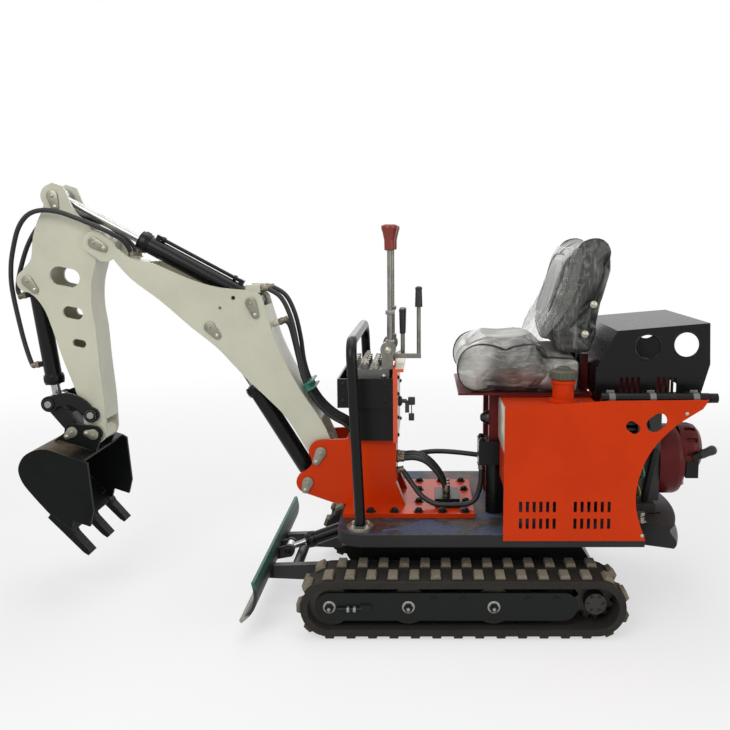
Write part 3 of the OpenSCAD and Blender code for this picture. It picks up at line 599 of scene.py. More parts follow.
@dataclass(frozen=True)
class WrappedVinyl:
    """Black vinyl under its clear wrapping, with the wrapping's glints painted as pale crease streaks and its glare
    painted as grey haze and sheen.
    """

    name: str
    stretch: tuple[float, float, float]
    glint_and_glare: float
    colour: Colour = srgb(40, 40, 37)
    # Colour of the film's haze with painted glare, and colour of the painted glints.
    haze_and_glare: Colour = srgb(96, 96, 90)
    glint: Colour = srgb(200, 201, 196)

    def build(self) -> bpy.types.Material:
        """Makes the material."""
        skin = Surface(self.name)
        veil = skin.noise(6.0, 2.0)
        fold = skin.noise(11.0, 2.0, self.stretch)
        streak = skin.noise(52.0, 4.0, self.stretch)
        fine = skin.noise(150.0, 3.0, self.stretch)
        # Painted highlights: pale streaks where the wrapping's creases would glint.
        crease = (streak.step(0.52, 0.68) * 0.8 + fine.step(0.54, 0.72) * 0.5) * (0.25 + 0.75 * veil.step(0.38, 0.62))
        # Painted sheen and glare: the vinyl turns grey towards its silhouette and in broad patches, partly the film's
        # own haze.
        facing = Value(skin, skin.node("ShaderNodeLayerWeight", {}, {"Blend": 0.3}).outputs["Facing"])
        film_haze_and_sheen = facing.step(0.5, 1.0) * 0.5 + veil.step(0.35, 0.70) * self.glint_and_glare
        colour = skin.mix(film_haze_and_sheen, self.colour, self.haze_and_glare)
        colour = skin.mix(crease * self.glint_and_glare, colour, self.glint)
        roughness = 0.24 + fine * 0.12
        return skin.close(colour, roughness, 0.0, fold + streak * 0.5, 0.006, specular_ior_level=0.45)


@dataclass(frozen=True)
class WrapFilm:
    """Clear crinkled film that shows mostly where it glints."""

    tint: Colour = srgb(150, 151, 145)
    clear: float = 0.32
    film_haze_and_sheen: float = 0.35

    def build(self) -> bpy.types.Material:
        """Makes the material."""
        skin = Surface("wrap_film")
        crease = skin.noise(26.0, 4.0, (1.0, 1.0, 0.5))
        fine = skin.noise(95.0, 3.0)
        ridge = 1.0 - abs(crease - 0.5) * 5.0
        streak = (ridge * 0.8 + fine * 0.5).step(0.95, 1.25)
        facing = Value(skin, skin.node("ShaderNodeLayerWeight", {}, {"Blend": 0.35}).outputs["Facing"])
        shown = (self.clear + streak * self.film_haze_and_sheen + facing * 0.22).at_most(0.85)
        bump = skin.node("ShaderNodeBump", {}, {"Height": crease + fine * 0.4, "Distance": 0.006})
        gloss = skin.node(
            "ShaderNodeBsdfPrincipled", {},
            {"Base Color": self.tint, "Roughness": 0.10, "Specular IOR Level": 0.9, "Normal": bump.outputs[0]},
        )
        open_air = skin.node("ShaderNodeBsdfTransparent")
        both = skin.node("ShaderNodeMixShader", {}, {0: shown, 1: open_air.outputs[0], 2: gloss.outputs[0]})
        skin.node("ShaderNodeOutputMaterial", {}, {"Surface": both.outputs[0]})
        return skin.material


class Finishes:
    """Every finish of the machine, made once."""

    def __init__(self) -> None:
        """Makes the materials."""
        self.cream = Paint("cream_paint", srgb(204, 203, 183), chips=0.4, dusty=0.08, gloss=0.3).build()
        self.orange = Paint("orange_paint", srgb(208, 57, 8), roughness=0.3, coat=0.04, dusty=0.03, gloss=0.08).build()
        self.gloss_black = self.black("gloss_black", srgb(14, 14, 16), 0.26)
        self.satin_black = self.black("satin_black", srgb(20, 21, 21), 0.42)
        self.frame_black = self.black("frame_black", srgb(18, 24, 20), 0.40)
        self.cap = self.black("cap_green", srgb(84, 92, 80), 0.3)
        self.maroon = Paint("maroon_paint", srgb(98, 23, 24), roughness=0.36, coat=0.08, dusty=0.03, gloss=0.12).build()
        self.teal = Paint("teal_paint", srgb(30, 108, 88), roughness=0.38).build()
        self.engine = Paint("engine_enamel", srgb(40, 38, 37), roughness=0.45, coat=0.0, dusty=0.12).build()
        self.tail = Paint("tail_paint", srgb(42, 40, 42), roughness=0.42, coat=0.0, dusty=0.06, gloss=0.2).build()
        self.steel = Metal("machined_steel", srgb(150, 149, 146)).build()
        self.cast = Metal("cast_alloy", srgb(112, 112, 110), roughness=0.5, grain=0.8, metallic=0.7).build()
        self.dark_steel = Metal("dark_steel", srgb(66, 64, 62), roughness=0.45, stains=0.5, metallic=0.8).build()
        self.zinc = Metal("zinc_plate", srgb(176, 172, 158), roughness=0.32, stains=0.15).build()
        self.lock = Metal("lock_plate", srgb(143, 142, 128), roughness=0.36, stains=0.6, metallic=0.85).build()
        self.fitting = Metal("fitting_plate", srgb(126, 116, 101), roughness=0.38, stains=0.4).build()
        self.black_oxide = Metal("black_oxide", srgb(30, 29, 29), roughness=0.42, stains=0.2, metallic=0.7).build()
        self.chrome = Metal(
            "hard_chrome", srgb(164, 166, 165), srgb(112, 115, 100), roughness=0.2, stains=0.3, grain=0.0, metallic=1.0
        ).build()
        self.hose = Rubber("hose_rubber", srgb(18, 18, 19), srgb(48, 47, 45), ribs=0.5).build()
        self.grip = Rubber("grip_rubber", srgb(15, 15, 16), srgb(40, 40, 39), roughness=0.4).build()
        self.green_wire = Rubber("green_wire", srgb(70, 128, 104), srgb(84, 140, 118)).build()
        self.yellow_wire = Rubber("yellow_wire", srgb(176, 142, 60), srgb(160, 134, 76)).build()
        self.track = TrackRubber().build()
        self.deck = DeckPaint().build()
        self.bucket = BucketPaint().build()
        self.blade = BladePaint().build()
        self.dash = DashPaint().build()
        self.long_lever = LeverFinish("long_lever", srgb(126, 36, 20), 1.198).build()
        self.short_lever = LeverFinish("short_lever", srgb(16, 16, 17), 0.909, 0.4, 1.004, spot(168, 0, 0).x).build()
        # Painted light: the cushion's vinyl and haze are paler than the back rest's, though both are the same black
        # vinyl, for the brighter light on the cushion's film.
        self.cushion = WrappedVinyl(
            "wrapped_cushion", (0.2, 1.0, 1.0), 1.0, srgb(80, 78, 74), srgb(172, 170, 164)
        ).build()
        self.back = WrappedVinyl("wrapped_back", (1.0, 1.0, 0.16), 0.5).build()
        self.film = WrapFilm().build()

    @staticmethod
    def black(name: str, colour: Colour, roughness: float) -> bpy.types.Material:
        """A dark paint that stays dark in a white room.

        Args:
            name: the finish's name.
            colour: the paint's colour.
            roughness: how matt it is.

        Returns:
            The material.
        """
        return Paint(name, colour, srgb(74, 72, 70), roughness=roughness, coat=0.0, dusty=0.03, gloss=0.2).build()

    def dress_solids(self) -> None:
        """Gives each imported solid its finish."""
        worn = {
            self.track: ("track_left", "track_right"),
            self.frame_black: ("track_frame_left", "track_frame_right", "carbody"),
            self.satin_black: ("rocker", "link", "pull_handle"),
            self.dark_steel: ("idlers", "sprockets", "road_rollers", "travel_motors", "slew_ring_lower"),
            self.steel: ("slew_ring_upper",),
            self.black_oxide: ("manifold",),
            self.cast: ("valve_bank",),
            self.blade: ("blade",),
            self.deck: ("deck",),
            self.tail: ("tail_weight",),
            self.orange: ("kingpost", "side_panels", "tanks"),
            self.gloss_black: (
                "console_box", "handrail", "rail_tubes", "hood", "pump_unit",
                "boom_barrel", "arm_barrel", "bucket_barrel", "blade_barrel",
            ),
            self.chrome: ("boom_rod", "arm_rod", "bucket_rod", "blade_rod"),
            self.cream: ("boom_frame", "arm_frame"),
            self.dash: ("dash_panel",),
            self.long_lever: ("long_levers",),
            self.short_lever: ("short_levers",),
            self.engine: ("engine_block",),
            self.maroon: ("engine_shroud", "seat_frame"),
            self.cushion: ("seat_cushion",),
            self.back: ("seat_back",),
            self.hose: ("deck_hoses", "boom_hoses", "loop_hoses"),
            self.bucket: ("bucket_shell", "bucket_teeth"),
        }
        for material, nodes in worn.items():
            for name in nodes:
                mesh = frame["nodes"][name].data
                mesh.materials.clear()
                mesh.materials.append(material)


@dataclass
class Studio:
    """Camera at the photograph's place, soft lamps and a pale floor."""

    lens: float = 41.08
    sensor: float = 36.0
    ahead: float = 118.5
    aside: float = 2873.0
    height: float = 1238.0
    pitch: float = 7.0
    shift: tuple[float, float] = (-0.0822, -0.0342)
    floor_size: float = 60.0
    surround: float = 0.30
    aim_height: float = 0.6
    floor_glow: float = 0.60
    glow_from: float = 1.4
    glow_full: float = 5.0
    lamps: tuple[tuple[str, tuple[float, float, float], float, float], ...] = (
        ("key", (1.6, 3.6, 3.6), 2.6, 92),
        ("fill", (-3.4, 2.6, 1.8), 2.4, 34),
        ("top", (0.0, -0.4, 4.2), 3.2, 62),
        ("back", (0.6, -3.6, 2.6), 2.4, 30),
    )

    def camera(self) -> None:
        """Sets the camera."""
        lens = bpy.data.cameras.new("camera")
        lens.lens = self.lens
        lens.sensor_width = self.sensor
        lens.shift_x, lens.shift_y = self.shift
        stand = bpy.data.objects.new("camera", lens)
        stand.location = spot(self.ahead, self.aside, self.height)
        stand.rotation_euler = (math.radians(90 - self.pitch), 0, math.pi)
        bpy.context.scene.collection.objects.link(stand)
        bpy.context.scene.camera = stand

    def lamp(self, name: str, place: tuple[float, float, float], size: float, power: float) -> None:
        """Adds one soft lamp that looks at the middle of the machine.

        Args:
            name: the lamp's name.
            place: where it hangs, in metres.
            size: width of its face in metres.
            power: its power in watts.
        """
        light = bpy.data.lights.new(name, "AREA")
        light.size = size
        light.energy = power
        stand = bpy.data.objects.new(name, light)
        stand.location = place
        aim = Vector((0, 0, self.aim_height)) - Vector(place)
        stand.rotation_euler = aim.to_track_quat("-Z", "Y").to_euler()
        bpy.context.scene.collection.objects.link(stand)

    def world(self) -> None:
        """A white surround that lights the machine softly."""
        world = bpy.data.worlds.new("surround")
        bpy.context.scene.world = world
        world.use_nodes = True
        tree = world.node_tree
        tree.nodes.clear()
        path = tree.nodes.new("ShaderNodeLightPath")
        seen = path.outputs["Is Camera Ray"]
        for other in ("Is Glossy Ray", "Is Transmission Ray"):
            either = tree.nodes.new("ShaderNodeMath")
            either.operation = "MAXIMUM"
            tree.links.new(seen, either.inputs[0])
            tree.links.new(path.outputs[other], either.inputs[1])
            seen = either.outputs[0]
        strength = tree.nodes.new("ShaderNodeMapRange")
        strength.inputs["To Min"].default_value = self.surround
        strength.inputs["To Max"].default_value = 1.0
        tree.links.new(seen, strength.inputs["Value"])
        sky = tree.nodes.new("ShaderNodeBackground")
        tree.links.new(strength.outputs[0], sky.inputs["Strength"])
        sky.inputs["Color"].default_value = (1.0, 1.0, 1.0, 1.0)
        out = tree.nodes.new("ShaderNodeOutputWorld")
        tree.links.new(sky.outputs[0], out.inputs["Surface"])

    def floor(self) -> None:
        """A pale floor that keeps the machine's shadow."""
        Bench.clear()
        bpy.ops.mesh.primitive_plane_add(size=self.floor_size)
        floor = bpy.context.object
        floor.name = "floor"
        paint = Surface("floor_paint")
        path = paint.node("ShaderNodeLightPath")
        direct = Value(paint, path.outputs["Is Camera Ray"])
        for other in ("Is Glossy Ray", "Is Transmission Ray"):
            direct = direct.at_least(Value(paint, path.outputs[other]))
        ahead, aside = paint.axis(Axis.X), paint.axis(Axis.Y)
        away = (ahead * ahead + aside * aside) ** 0.5
        spread = away.step(self.glow_from, self.glow_full)
        white = direct * (self.floor_glow + (1.0 - self.floor_glow) * spread)
        mottle = paint.noise(1.4, 2.0)
        tone = paint.mix(mottle * 0.3, (0.90, 0.90, 0.90, 1.0), (0.86, 0.86, 0.86, 1.0))
        matt = paint.node("ShaderNodeBsdfDiffuse", {}, {"Color": tone})
        glow = paint.node("ShaderNodeEmission", {}, {"Color": (1.0, 1.0, 1.0, 1.0), "Strength": 1.0})
        both = paint.node("ShaderNodeMixShader", {}, {0: white, 1: matt.outputs[0], 2: glow.outputs[0]})
        paint.node("ShaderNodeOutputMaterial", {}, {"Surface": both.outputs[0]})
        floor.data.materials.append(paint.material)

    def build(self) -> None:
        """Sets up the whole studio."""
        self.camera()
        for name, place, size, power in self.lamps:
            self.lamp(name, place, size, power)
        self.world()
        self.floor()
        bpy.context.scene.view_settings.view_transform = "Standard"


class Bench:
    """Hand tools. Each call that makes a piece leaves it at the origin with its place in its mesh."""

    @staticmethod
    def clear() -> None:
        """Leaves edit mode and selects nothing."""
        if bpy.context.object and bpy.context.object.mode != "OBJECT":
            bpy.ops.object.mode_set(mode="OBJECT")
        bpy.ops.object.select_all(action="DESELECT")

    @classmethod
    def take(cls, piece: Piece) -> Piece:
        """Selects one piece alone and makes it active."""
        cls.clear()
        piece.select_set(True)
        bpy.context.view_layer.objects.active = piece
        return piece

    @classmethod
    def settle(cls, piece: Piece, name: str) -> Piece:
        """Moves a piece's place into its mesh and names it."""
        cls.take(piece)
        bpy.ops.object.transform_apply(location=True, rotation=True, scale=True)
        piece.name = name
        piece.data.name = name
        return piece

    @classmethod
    def pick(cls, piece: Piece, wanted: Callable[[Vector, Vector], bool]) -> None:
        """Opens a piece in edit mode with some of its faces selected.

        Args:
            piece: the piece.
            wanted: says of a face's middle and normal whether it is selected.
        """
        cls.take(piece)
        bpy.context.tool_settings.mesh_select_mode = (False, False, True)
        for vertex in piece.data.vertices:
            vertex.select = False
        for edge in piece.data.edges:
            edge.select = False
        for face in piece.data.polygons:
            face.select = wanted(face.center, face.normal)
        bpy.ops.object.mode_set(mode="EDIT")

    @classmethod
    def turned(
        cls, name: str, profile: Profile, foot: Vector, direction: Vector, sides: int = 24, bevel: float = 0.0
    ) -> Piece:
        """A turned piece: a cone that is drawn out step by step.

        Args:
            name: the piece's name.
            profile: radius and height pairs in millimetres, from the foot up.
            foot: where the axis starts.
            direction: where the axis points.
            sides: sides of the round; 6 makes a nut.
            bevel: width of the broken edges in millimetres.

        Returns:
            The piece.
        """
        cls.clear()
        (first, start), (second, end) = profile[:2]
        bpy.ops.mesh.primitive_cone_add(
            vertices=sides, radius1=first * MM, radius2=second * MM, depth=(end - start) * MM,
            location=(0, 0, (start + end) / 2 * MM), end_fill_type="NGON",
        )
        piece = cls.settle(bpy.context.object, name)
        top = end * MM
        cls.pick(piece, lambda middle, normal: normal.z > 0.99 and abs(middle.z - top) < 1e-6)
        for (old, low), (new, high) in zip(profile[1:], profile[2:]):
            bpy.ops.mesh.extrude_region_move(TRANSFORM_OT_translate={"value": (0, 0, (high - low) * MM)})
            if new != old:
                bpy.ops.transform.resize(value=(new / old, new / old, 1))
        if bevel:
            bpy.ops.mesh.select_all(action="SELECT")
            bpy.ops.mesh.bevel(offset=bevel * MM, segments=2, affect="EDGES", clamp_overlap=True)
        bpy.ops.mesh.select_all(action="SELECT")
        bpy.ops.mesh.normals_make_consistent(inside=False)
        bpy.ops.object.mode_set(mode="OBJECT")
        turn = direction.normalized().to_track_quat("Z", "Y").to_matrix().to_4x4()
        piece.matrix_world = Matrix.Translation(foot) @ turn
        return cls.settle(piece, name)

    @classmethod
    def slab(cls, name: str, low: Vector, high: Vector, bevel: float = 1.5) -> Piece:
        """A block with broken edges.

        Args:
            name: the piece's name.
            low, high: its corners.
            bevel: width of the broken edges in millimetres.

        Returns:
            The piece.
        """
        cls.clear()
        bpy.ops.mesh.primitive_cube_add(size=1.0, location=(low + high) / 2)
        piece = bpy.context.object
        piece.scale = high - low
        cls.settle(piece, name)
        bpy.ops.object.mode_set(mode="EDIT")
        bpy.ops.mesh.select_all(action="SELECT")
        bpy.ops.mesh.bevel(offset=bevel * MM, segments=2, affect="EDGES", clamp_overlap=True)
        bpy.ops.object.mode_set(mode="OBJECT")
        return piece

    @classmethod
    def plate(cls, name: str, outline: Sequence[Vector], depth: Vector, bevel: float = 0.8) -> Piece:
        """A flat plate cut to an outline and drawn out to its thickness.

        Args:
            name: the piece's name.
            outline: its corners in order.
            depth: how far and where it is drawn out.
            bevel: width of the broken edges in millimetres.

        Returns:
            The piece.
        """
        cls.clear()
        bpy.ops.mesh.primitive_circle_add(vertices=len(outline), radius=1.0, fill_type="NGON")
        piece = bpy.context.object
        for vertex, corner in zip(piece.data.vertices, outline):
            vertex.co = corner
        piece.data.update()
        bpy.context.tool_settings.mesh_select_mode = (False, True, False)
        bpy.ops.object.mode_set(mode="EDIT")
        bpy.ops.mesh.select_all(action="SELECT")
        bpy.ops.mesh.extrude_region_move(TRANSFORM_OT_translate={"value": tuple(depth)})
        bpy.ops.mesh.select_all(action="SELECT")
        bpy.ops.mesh.normals_make_consistent(inside=False)
        bpy.ops.mesh.select_all(action="DESELECT")
        bpy.ops.mesh.edges_select_sharp(sharpness=math.radians(50))
        bpy.ops.mesh.bevel(offset=bevel * MM, segments=2, affect="EDGES", clamp_overlap=True)
        bpy.ops.object.mode_set(mode="OBJECT")
        return cls.settle(piece, name)

    @classmethod
    def tube(cls, name: str, points: Sequence[Vector], radius: float, closed: bool = False, sides: int = 4) -> Piece:
        """A round tube along points.

        Args:
            name: the piece's name.
            points: the tube's middle line.
            radius: its radius in millimetres.
            closed: whether it runs back to its start.
            sides: quarter-round steps of its section.

        Returns:
            The piece, as a mesh.
        """
        cls.clear()
        line = bpy.data.curves.new(name, "CURVE")
        line.dimensions = "3D"
        line.bevel_depth = radius * MM
        line.bevel_resolution = sides
        line.use_fill_caps = not closed
        run = line.splines.new("POLY")
        run.points.add(len(points) - 1)
        run.use_cyclic_u = closed
        for point, place in zip(run.points, points):
            point.co = (*place, 1.0)
        piece = bpy.data.objects.new(name, line)
        bpy.context.scene.collection.objects.link(piece)
        cls.take(piece)
        bpy.ops.object.convert(target="MESH")
        return cls.settle(bpy.context.object, name)

    @classmethod
    def join(cls, name: str, parts: Sequence[Piece]) -> Piece:
        """Joins pieces into one."""
        cls.clear()
        for part in parts:
            part.select_set(True)
        bpy.context.view_layer.objects.active = parts[0]
        if len(parts) > 1:
            bpy.ops.object.join()
        return cls.settle(bpy.context.object, name)

    @classmethod
    def copies(cls, name: str, pattern: Piece, places: Iterable[Place]) -> Piece:
        """Sets copies of a piece modelled at the origin along +Z, then removes the pattern.

        Args:
            name: name of the joined copies.
            pattern: the piece that is copied.
            places: foot and direction of each copy.

        Returns:
            The copies as one piece.
        """
        made = []
        for foot, direction in places:
            copy = pattern.copy()
            copy.data = pattern.data.copy()
            bpy.context.scene.collection.objects.link(copy)
            turn = direction.normalized().to_track_quat("Z", "Y").to_matrix().to_4x4()
            copy.matrix_world = Matrix.Translation(foot) @ turn
            made.append(copy)
        bpy.data.objects.remove(pattern)
        cls.clear()
        for copy in made:
            copy.select_set(True)
        bpy.context.view_layer.objects.active = made[0]
        bpy.ops.object.transform_apply(location=True, rotation=True, scale=True)
        return cls.join(name, made)

    @classmethod
    def hand_over(cls, piece: Piece, body: str, finish: bpy.types.Material, slot: str, angle: float = 35.0) -> Piece:
        """Smooths, paints and mounts a finished piece.

        Args:
            piece: the piece.
            body: the body that it rides on.
            finish: its material.
            slot: the record's slot of its finish; not used.
            angle: edges sharper than this stay sharp, in degrees.

        Returns:
            The piece.
        """
        cls.take(piece)
        bpy.ops.object.shade_smooth_by_angle(angle=math.radians(angle))
        piece.data.materials.clear()
        piece.data.materials.append(finish)
        if body:
            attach(piece, body)
        LOG.info("%s on %s", piece.name, body or "two bodies")
        return piece


LEFT = Vector((0, 1, 0))
RIGHT = Vector((0, -1, 0))
UP = Vector((0, 0, 1))
DOWN = Vector((0, 0, -1))
FORWARD = Vector((1, 0, 0))
BACK = Vector((-1, 0, 0))
ORIGIN = Vector((0, 0, 0))


@dataclass
class Hardware:
    """Bolts, nipples, welds and gland nuts that every sub-assembly uses."""

    finishes: Finishes

    def bolts(
        self, name: str, body: str, size: float, places: Sequence[Place], finish: str = "black_oxide"
    ) -> Piece:
        """Six-sided bolts on washers, with the end of the shank proud of a domed head.

        Args:
            name: the piece's name.
            body: the body that they ride on.
            size: radius of the heads in millimetres.
            places: foot and direction of each bolt.
            finish: which finish they get.

        Returns:
            The bolts as one piece.
        """
        lip = size * 0.2
        washer = Bench.turned("washer", [(size * 1.3, 0), (size * 1.3, lip)], ORIGIN, UP, 20, 0.3)
        head = Bench.turned("head", [(size, lip), (size, size * 0.8), (size * 0.8, size * 0.92)], ORIGIN, UP, 6)
        end = [(size * 0.5, 0), (size * 0.5, size * 1.02), (size * 0.38, size * 1.1)]
        shank = Bench.turned("shank", end, ORIGIN, UP, 12)
        piece = Bench.copies(name, Bench.join("bolt", [washer, head, shank]), places)
        return Bench.hand_over(piece, body, getattr(self.finishes, finish), "bare_steel")

    def nipples(self, name: str, body: str, places: Sequence[Place]) -> Piece:
        """Grease nipples.

        Args:
            name: the piece's name.
            body: the body that they ride on.
            places: foot and direction of each nipple.

        Returns:
            The nipples as one piece.
        """
        seat = Bench.turned("seat", [(5, 0), (5, 3)], ORIGIN, UP, 6)
        neck = Bench.turned("neck", [(3.2, 3), (2.2, 5), (3, 7), (2.8, 8.5), (1.4, 10)], ORIGIN, UP, 12)
        piece = Bench.copies(name, Bench.join("nipple", [seat, neck]), places)
        return Bench.hand_over(piece, body, self.finishes.zinc, "bare_steel")

    def welds(
        self, name: str, body: str, seams: Sequence[Sequence[Vector]], finish: bpy.types.Material, size: float = 3.0
    ) -> Piece:
        """Weld beads along seams, roughened like a torch's ripple.

        Args:
            name: the piece's name.
            body: the body that they ride on.
            seams: the points of each seam.
            finish: paint over the welds.
            size: radius of a bead in millimetres.

        Returns:
            The welds as one piece.
        """
        beads = []
        for seam in seams:
            line: list[Vector] = []
            for start, end in zip(seam, seam[1:]):
                steps = max(2, int((end - start).length / (2.2 * size * MM)))
                line += [start.lerp(end, step / steps) for step in range(steps)]
            beads.append(Bench.tube(name, line + [seam[-1]], size, sides=2))
        piece = Bench.join(name, beads)
        bpy.ops.object.mode_set(mode="EDIT")
        bpy.ops.mesh.select_all(action="SELECT")
        bpy.ops.transform.vertex_random(offset=0.3 * size * MM, seed=4)
        bpy.ops.object.mode_set(mode="OBJECT")
        return Bench.hand_over(piece, body, finish, "dark_frame", 60)

    def gland(self, name: str, body: str, base: Vector, tip: Vector, length: float, radius: float) -> Piece:
        """The ring nut at a cylinder's mouth, with eight lugs for a spanner.

        Args:
            name: the piece's name.
            body: the barrel's body.
            base, tip: the cylinder's two pins.
            length: distance of the mouth from the base pin in millimetres.
            radius: the barrel's radius in millimetres.

        Returns:
            The piece.
        """
        along = (tip - base).normalized()
        mouth = base + along * length * MM
        profile = [(4.6, -31), (5.4, -29), (5.4, -6), (3, -2), (-6, 1), (-10, 4)]
        nut = Bench.turned(name, [(radius + more, height) for more, height in profile], mouth, along, 32)
        pattern = Bench.slab("lug", Vector((radius + 3, -3, -26)) * MM, Vector((radius + 7.5, 3, -9)) * MM, 0.8)
        lugs = []
        for step in range(8):
            lug = pattern.copy()
            lug.data = pattern.data.copy()
            bpy.context.scene.collection.objects.link(lug)
            lug.matrix_world = (
                Matrix.Translation(mouth) @ along.to_track_quat("Z", "Y").to_matrix().to_4x4()
                @ Matrix.Rotation(step * math.pi / 4, 4, "Z")
            )
            lugs.append(Bench.settle(lug, "lug"))
        bpy.data.objects.remove(pattern)
        return Bench.hand_over(Bench.join(name, [nut, *lugs]), body, self.finishes.gloss_black, "black")


@dataclass
class HydraulicHoses:
    """Rubber hoses with crimped ends, bent along the routes of their solids."""

    tools: Hardware
    thin: float = 8.0
    thick: float = 9.0
    steps: int = 6

    def route(self, points: Route) -> list[Vector]:
        """A smooth line through a route's points.

        Args:
            points: places in millimetres from the slew axis.

        Returns:
            Places in metres.
        """
        return curve([spot(*point) for point in points], self.steps)

    def hose(self, name: str, points: Route, radius: float, node: str) -> tuple[Piece, list[Vector]]:
        """One hose with both ends in the machine, in place of its solid, which is hidden.

        Args:
            name: the piece's name.
            points: its route in millimetres.
            radius: its radius in millimetres.
            node: the solid that it stands for.

        Returns:
            The piece and its middle line.
        """
        line = self.route(points)
        piece = Bench.tube(name, line, radius)
        Bench.hand_over(piece, "", self.tools.finishes.hose, "hose_rubber", 60)
        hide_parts(node)
        declare_cord(line, radius)
        return piece, line

    def crimps(self, name: str, body: str, ends: Sequence[Place], radius: float) -> Piece:
        """Crimped sleeves and union nuts on hose ends.

        Args:
            name: the piece's name.
            body: the body that the ends are fixed to.
            ends: port and direction of each hose end.
            radius: the hose's radius in millimetres.

        Returns:
            The fittings as one piece.
        """
        profile = [(1.42, -1), (1.5, 0), (1.5, 9), (1.3, 10)]
        nut = Bench.turned("nut", [(radius * share, height) for share, height in profile], ORIGIN, UP, 6)
        sleeve = Bench.turned(
            "sleeve",
            [(radius * 1.12, 9), (radius * 1.26, 11), (radius * 1.26, 14), (radius * 1.18, 15), (radius * 1.26, 16),
             (radius * 1.26, 19), (radius * 1.18, 20), (radius * 1.26, 21), (radius * 1.26, 25), (radius * 1.1, 26)],
            ORIGIN, UP, 20,
        )
        piece = Bench.copies(name, Bench.join("fitting", [nut, sleeve]), ends)
        return Bench.hand_over(piece, body, self.tools.finishes.fitting, "bare_steel")

    def boom_set(self) -> None:
        """Four hoses from the kingpost up the back of the boom, and their clamp."""
        outer = [(372, 52, 557.4), (372, 52, 573), (394, 52, 598), (438, 52, 624), (477, 52, 659), (508, 52, 702),
                 (532, 52, 752), (548, 52, 812), (558, 52, 890), (576, 52, 972), (606, 52, 1036), (650, 52, 1066),
                 (673.6, 52, 1067)]
        inner = [(372, 18, 557.4), (372, 18, 573), (394, 18, 596), (438, 18, 621), (478, 18, 656), (510, 17, 700),
                 (535, 17, 750), (553, 17, 808), (569, 17, 880), (585, 17, 940), (604, 17, 954.6),
                 (619.8, 17, 949.8)]
        low, high = [], []
        for side, hand in ((1, "left"), (-1, "right")):
            for label, points in (("outer", outer), ("inner", inner)):
                placed = [(x, side * y, z) for x, y, z in points]
                piece, line = self.hose(f"boom_hose_{label}_{hand}", placed, self.thin, "boom_hoses")
                spot(380, 0, 580)
                spot(496, 0, 684)
                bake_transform(piece)
                low.append((line[0], line[1] - line[0]))
                high.append((line[-1], line[-2] - line[-1]))
        self.crimps("boom_hose_feet", "upper", low, self.thin)
        self.crimps("boom_hose_heads", "boom", high, self.thin)
        self.clamp()

    def clamp(self) -> None:
        """The green clamp that holds the four hoses to the boom's back."""
        middle = spot(522, 0, 730)
        along = Vector((0.43, 0, 0.90))
        saddles = []
        for y in (52, 17, -17, -52):
            foot = middle + Vector((0, y * MM, 0))
            saddles.append(Bench.turned("saddle", [(11, -14), (12.5, -12), (12.5, 12), (11, 14)], foot, along, 20))
        for offset in (-11, 11):
            place = middle + along * offset * MM
            band = Bench.slab("band", Vector((-66, -11, -4)) * MM, Vector((66, 24, 4)) * MM, 2)
            band.matrix_world = Matrix.Translation(place) @ along.to_track_quat("Z", "Y").to_matrix().to_4x4()
            saddles.append(Bench.settle(band, "band"))
        Bench.hand_over(Bench.join("hose_clamp", saddles), "boom", self.tools.finishes.teal, "dark_frame")

    def loop_set(self) -> None:
        """Two hoses that loop round the elbow to the bucket cylinder."""
        left = [(1112, 33, 1176), (1116, 33, 1190), (1130, 54, 1226), (1160, 84, 1252), (1210, 96, 1278),
                (1270, 96, 1303), (1330, 94, 1323), (1390, 88, 1328), (1440, 76, 1312), (1480, 60, 1270),
                (1508, 44, 1206), (1526, 32, 1140), (1530, 24, 1060), (1516, 10, 930), (1502, 3, 850),
                (1486.2, 0, 796.9), (1474.8, 0, 798.4), (1463.4, 0, 799.89)]
        right = [(1112, -33, 1176), (1116, -33, 1190), (1150, -33, 1232), (1215, -33, 1280), (1290, -34, 1306),
                 (1391, -34, 1316), (1440, -34, 1294), (1490, -32, 1222), (1520, -26, 1136), (1528, -12, 1068),
                 (1514, 0, 1040), (1495.2, 0, 1042.6)]
        low, high = [], []
        for name, points in (("loop_hose_left", left), ("loop_hose_right", right)):
            piece, line = self.hose(name, points, self.thin, "loop_hoses")
            spot(1130, 0, 1250)
            spot(1330, 0, 1250)
            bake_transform(piece)
            low.append((line[0], line[1] - line[0]))
            high.append((line[-1], line[-2] - line[-1]))
        self.crimps("loop_hose_feet", "boom", low, self.thin)
        self.crimps("loop_hose_heads", "bucket_barrel", high, self.thin)

    def deck_set(self) -> None:
        """Hoses behind the kingpost: three to the manifold, two to the pumps."""
        routes = [
            [(216.6, y - 18, 480), (196, y - 18, 480), (152, y - 13, 483), (112, y - 5, 470), (74, y, 432),
             (52, y, 392), (45, y, 377), (45, y, 366.4)]
            for y in (10, 45, 80)
        ]
        routes.append([
            (216.6, 70, 440), (196, 70, 440), (166, 84, 402), (128, 112, 361), (80, 137, 342), (20, 140, 340),
            (-24, 138, 342), (-54, 134, 362), (-69, 131, 410), (-72, 130, 455), (-72, 130, 487.6),
        ])
        routes.append([
            (216.6, -44, 462), (192, -44, 462), (80, -30, 482), (-60, -8, 476), (-180, 0, 455), (-209.6, 0, 455),
        ])
        ends = []
        for number, points in enumerate(routes, 1):
            piece, line = self.hose(f"deck_hose_{number}", points, self.thick, "deck_hoses")
            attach(piece, "upper")
            ends += [(line[0], line[1] - line[0]), (line[-1], line[-2] - line[-1])]
        self.crimps("deck_hose_ends", "upper", ends, self.thick)

    def build(self) -> None:
        """Makes every hose."""
        self.boom_set()
        self.loop_set()
        self.deck_set()


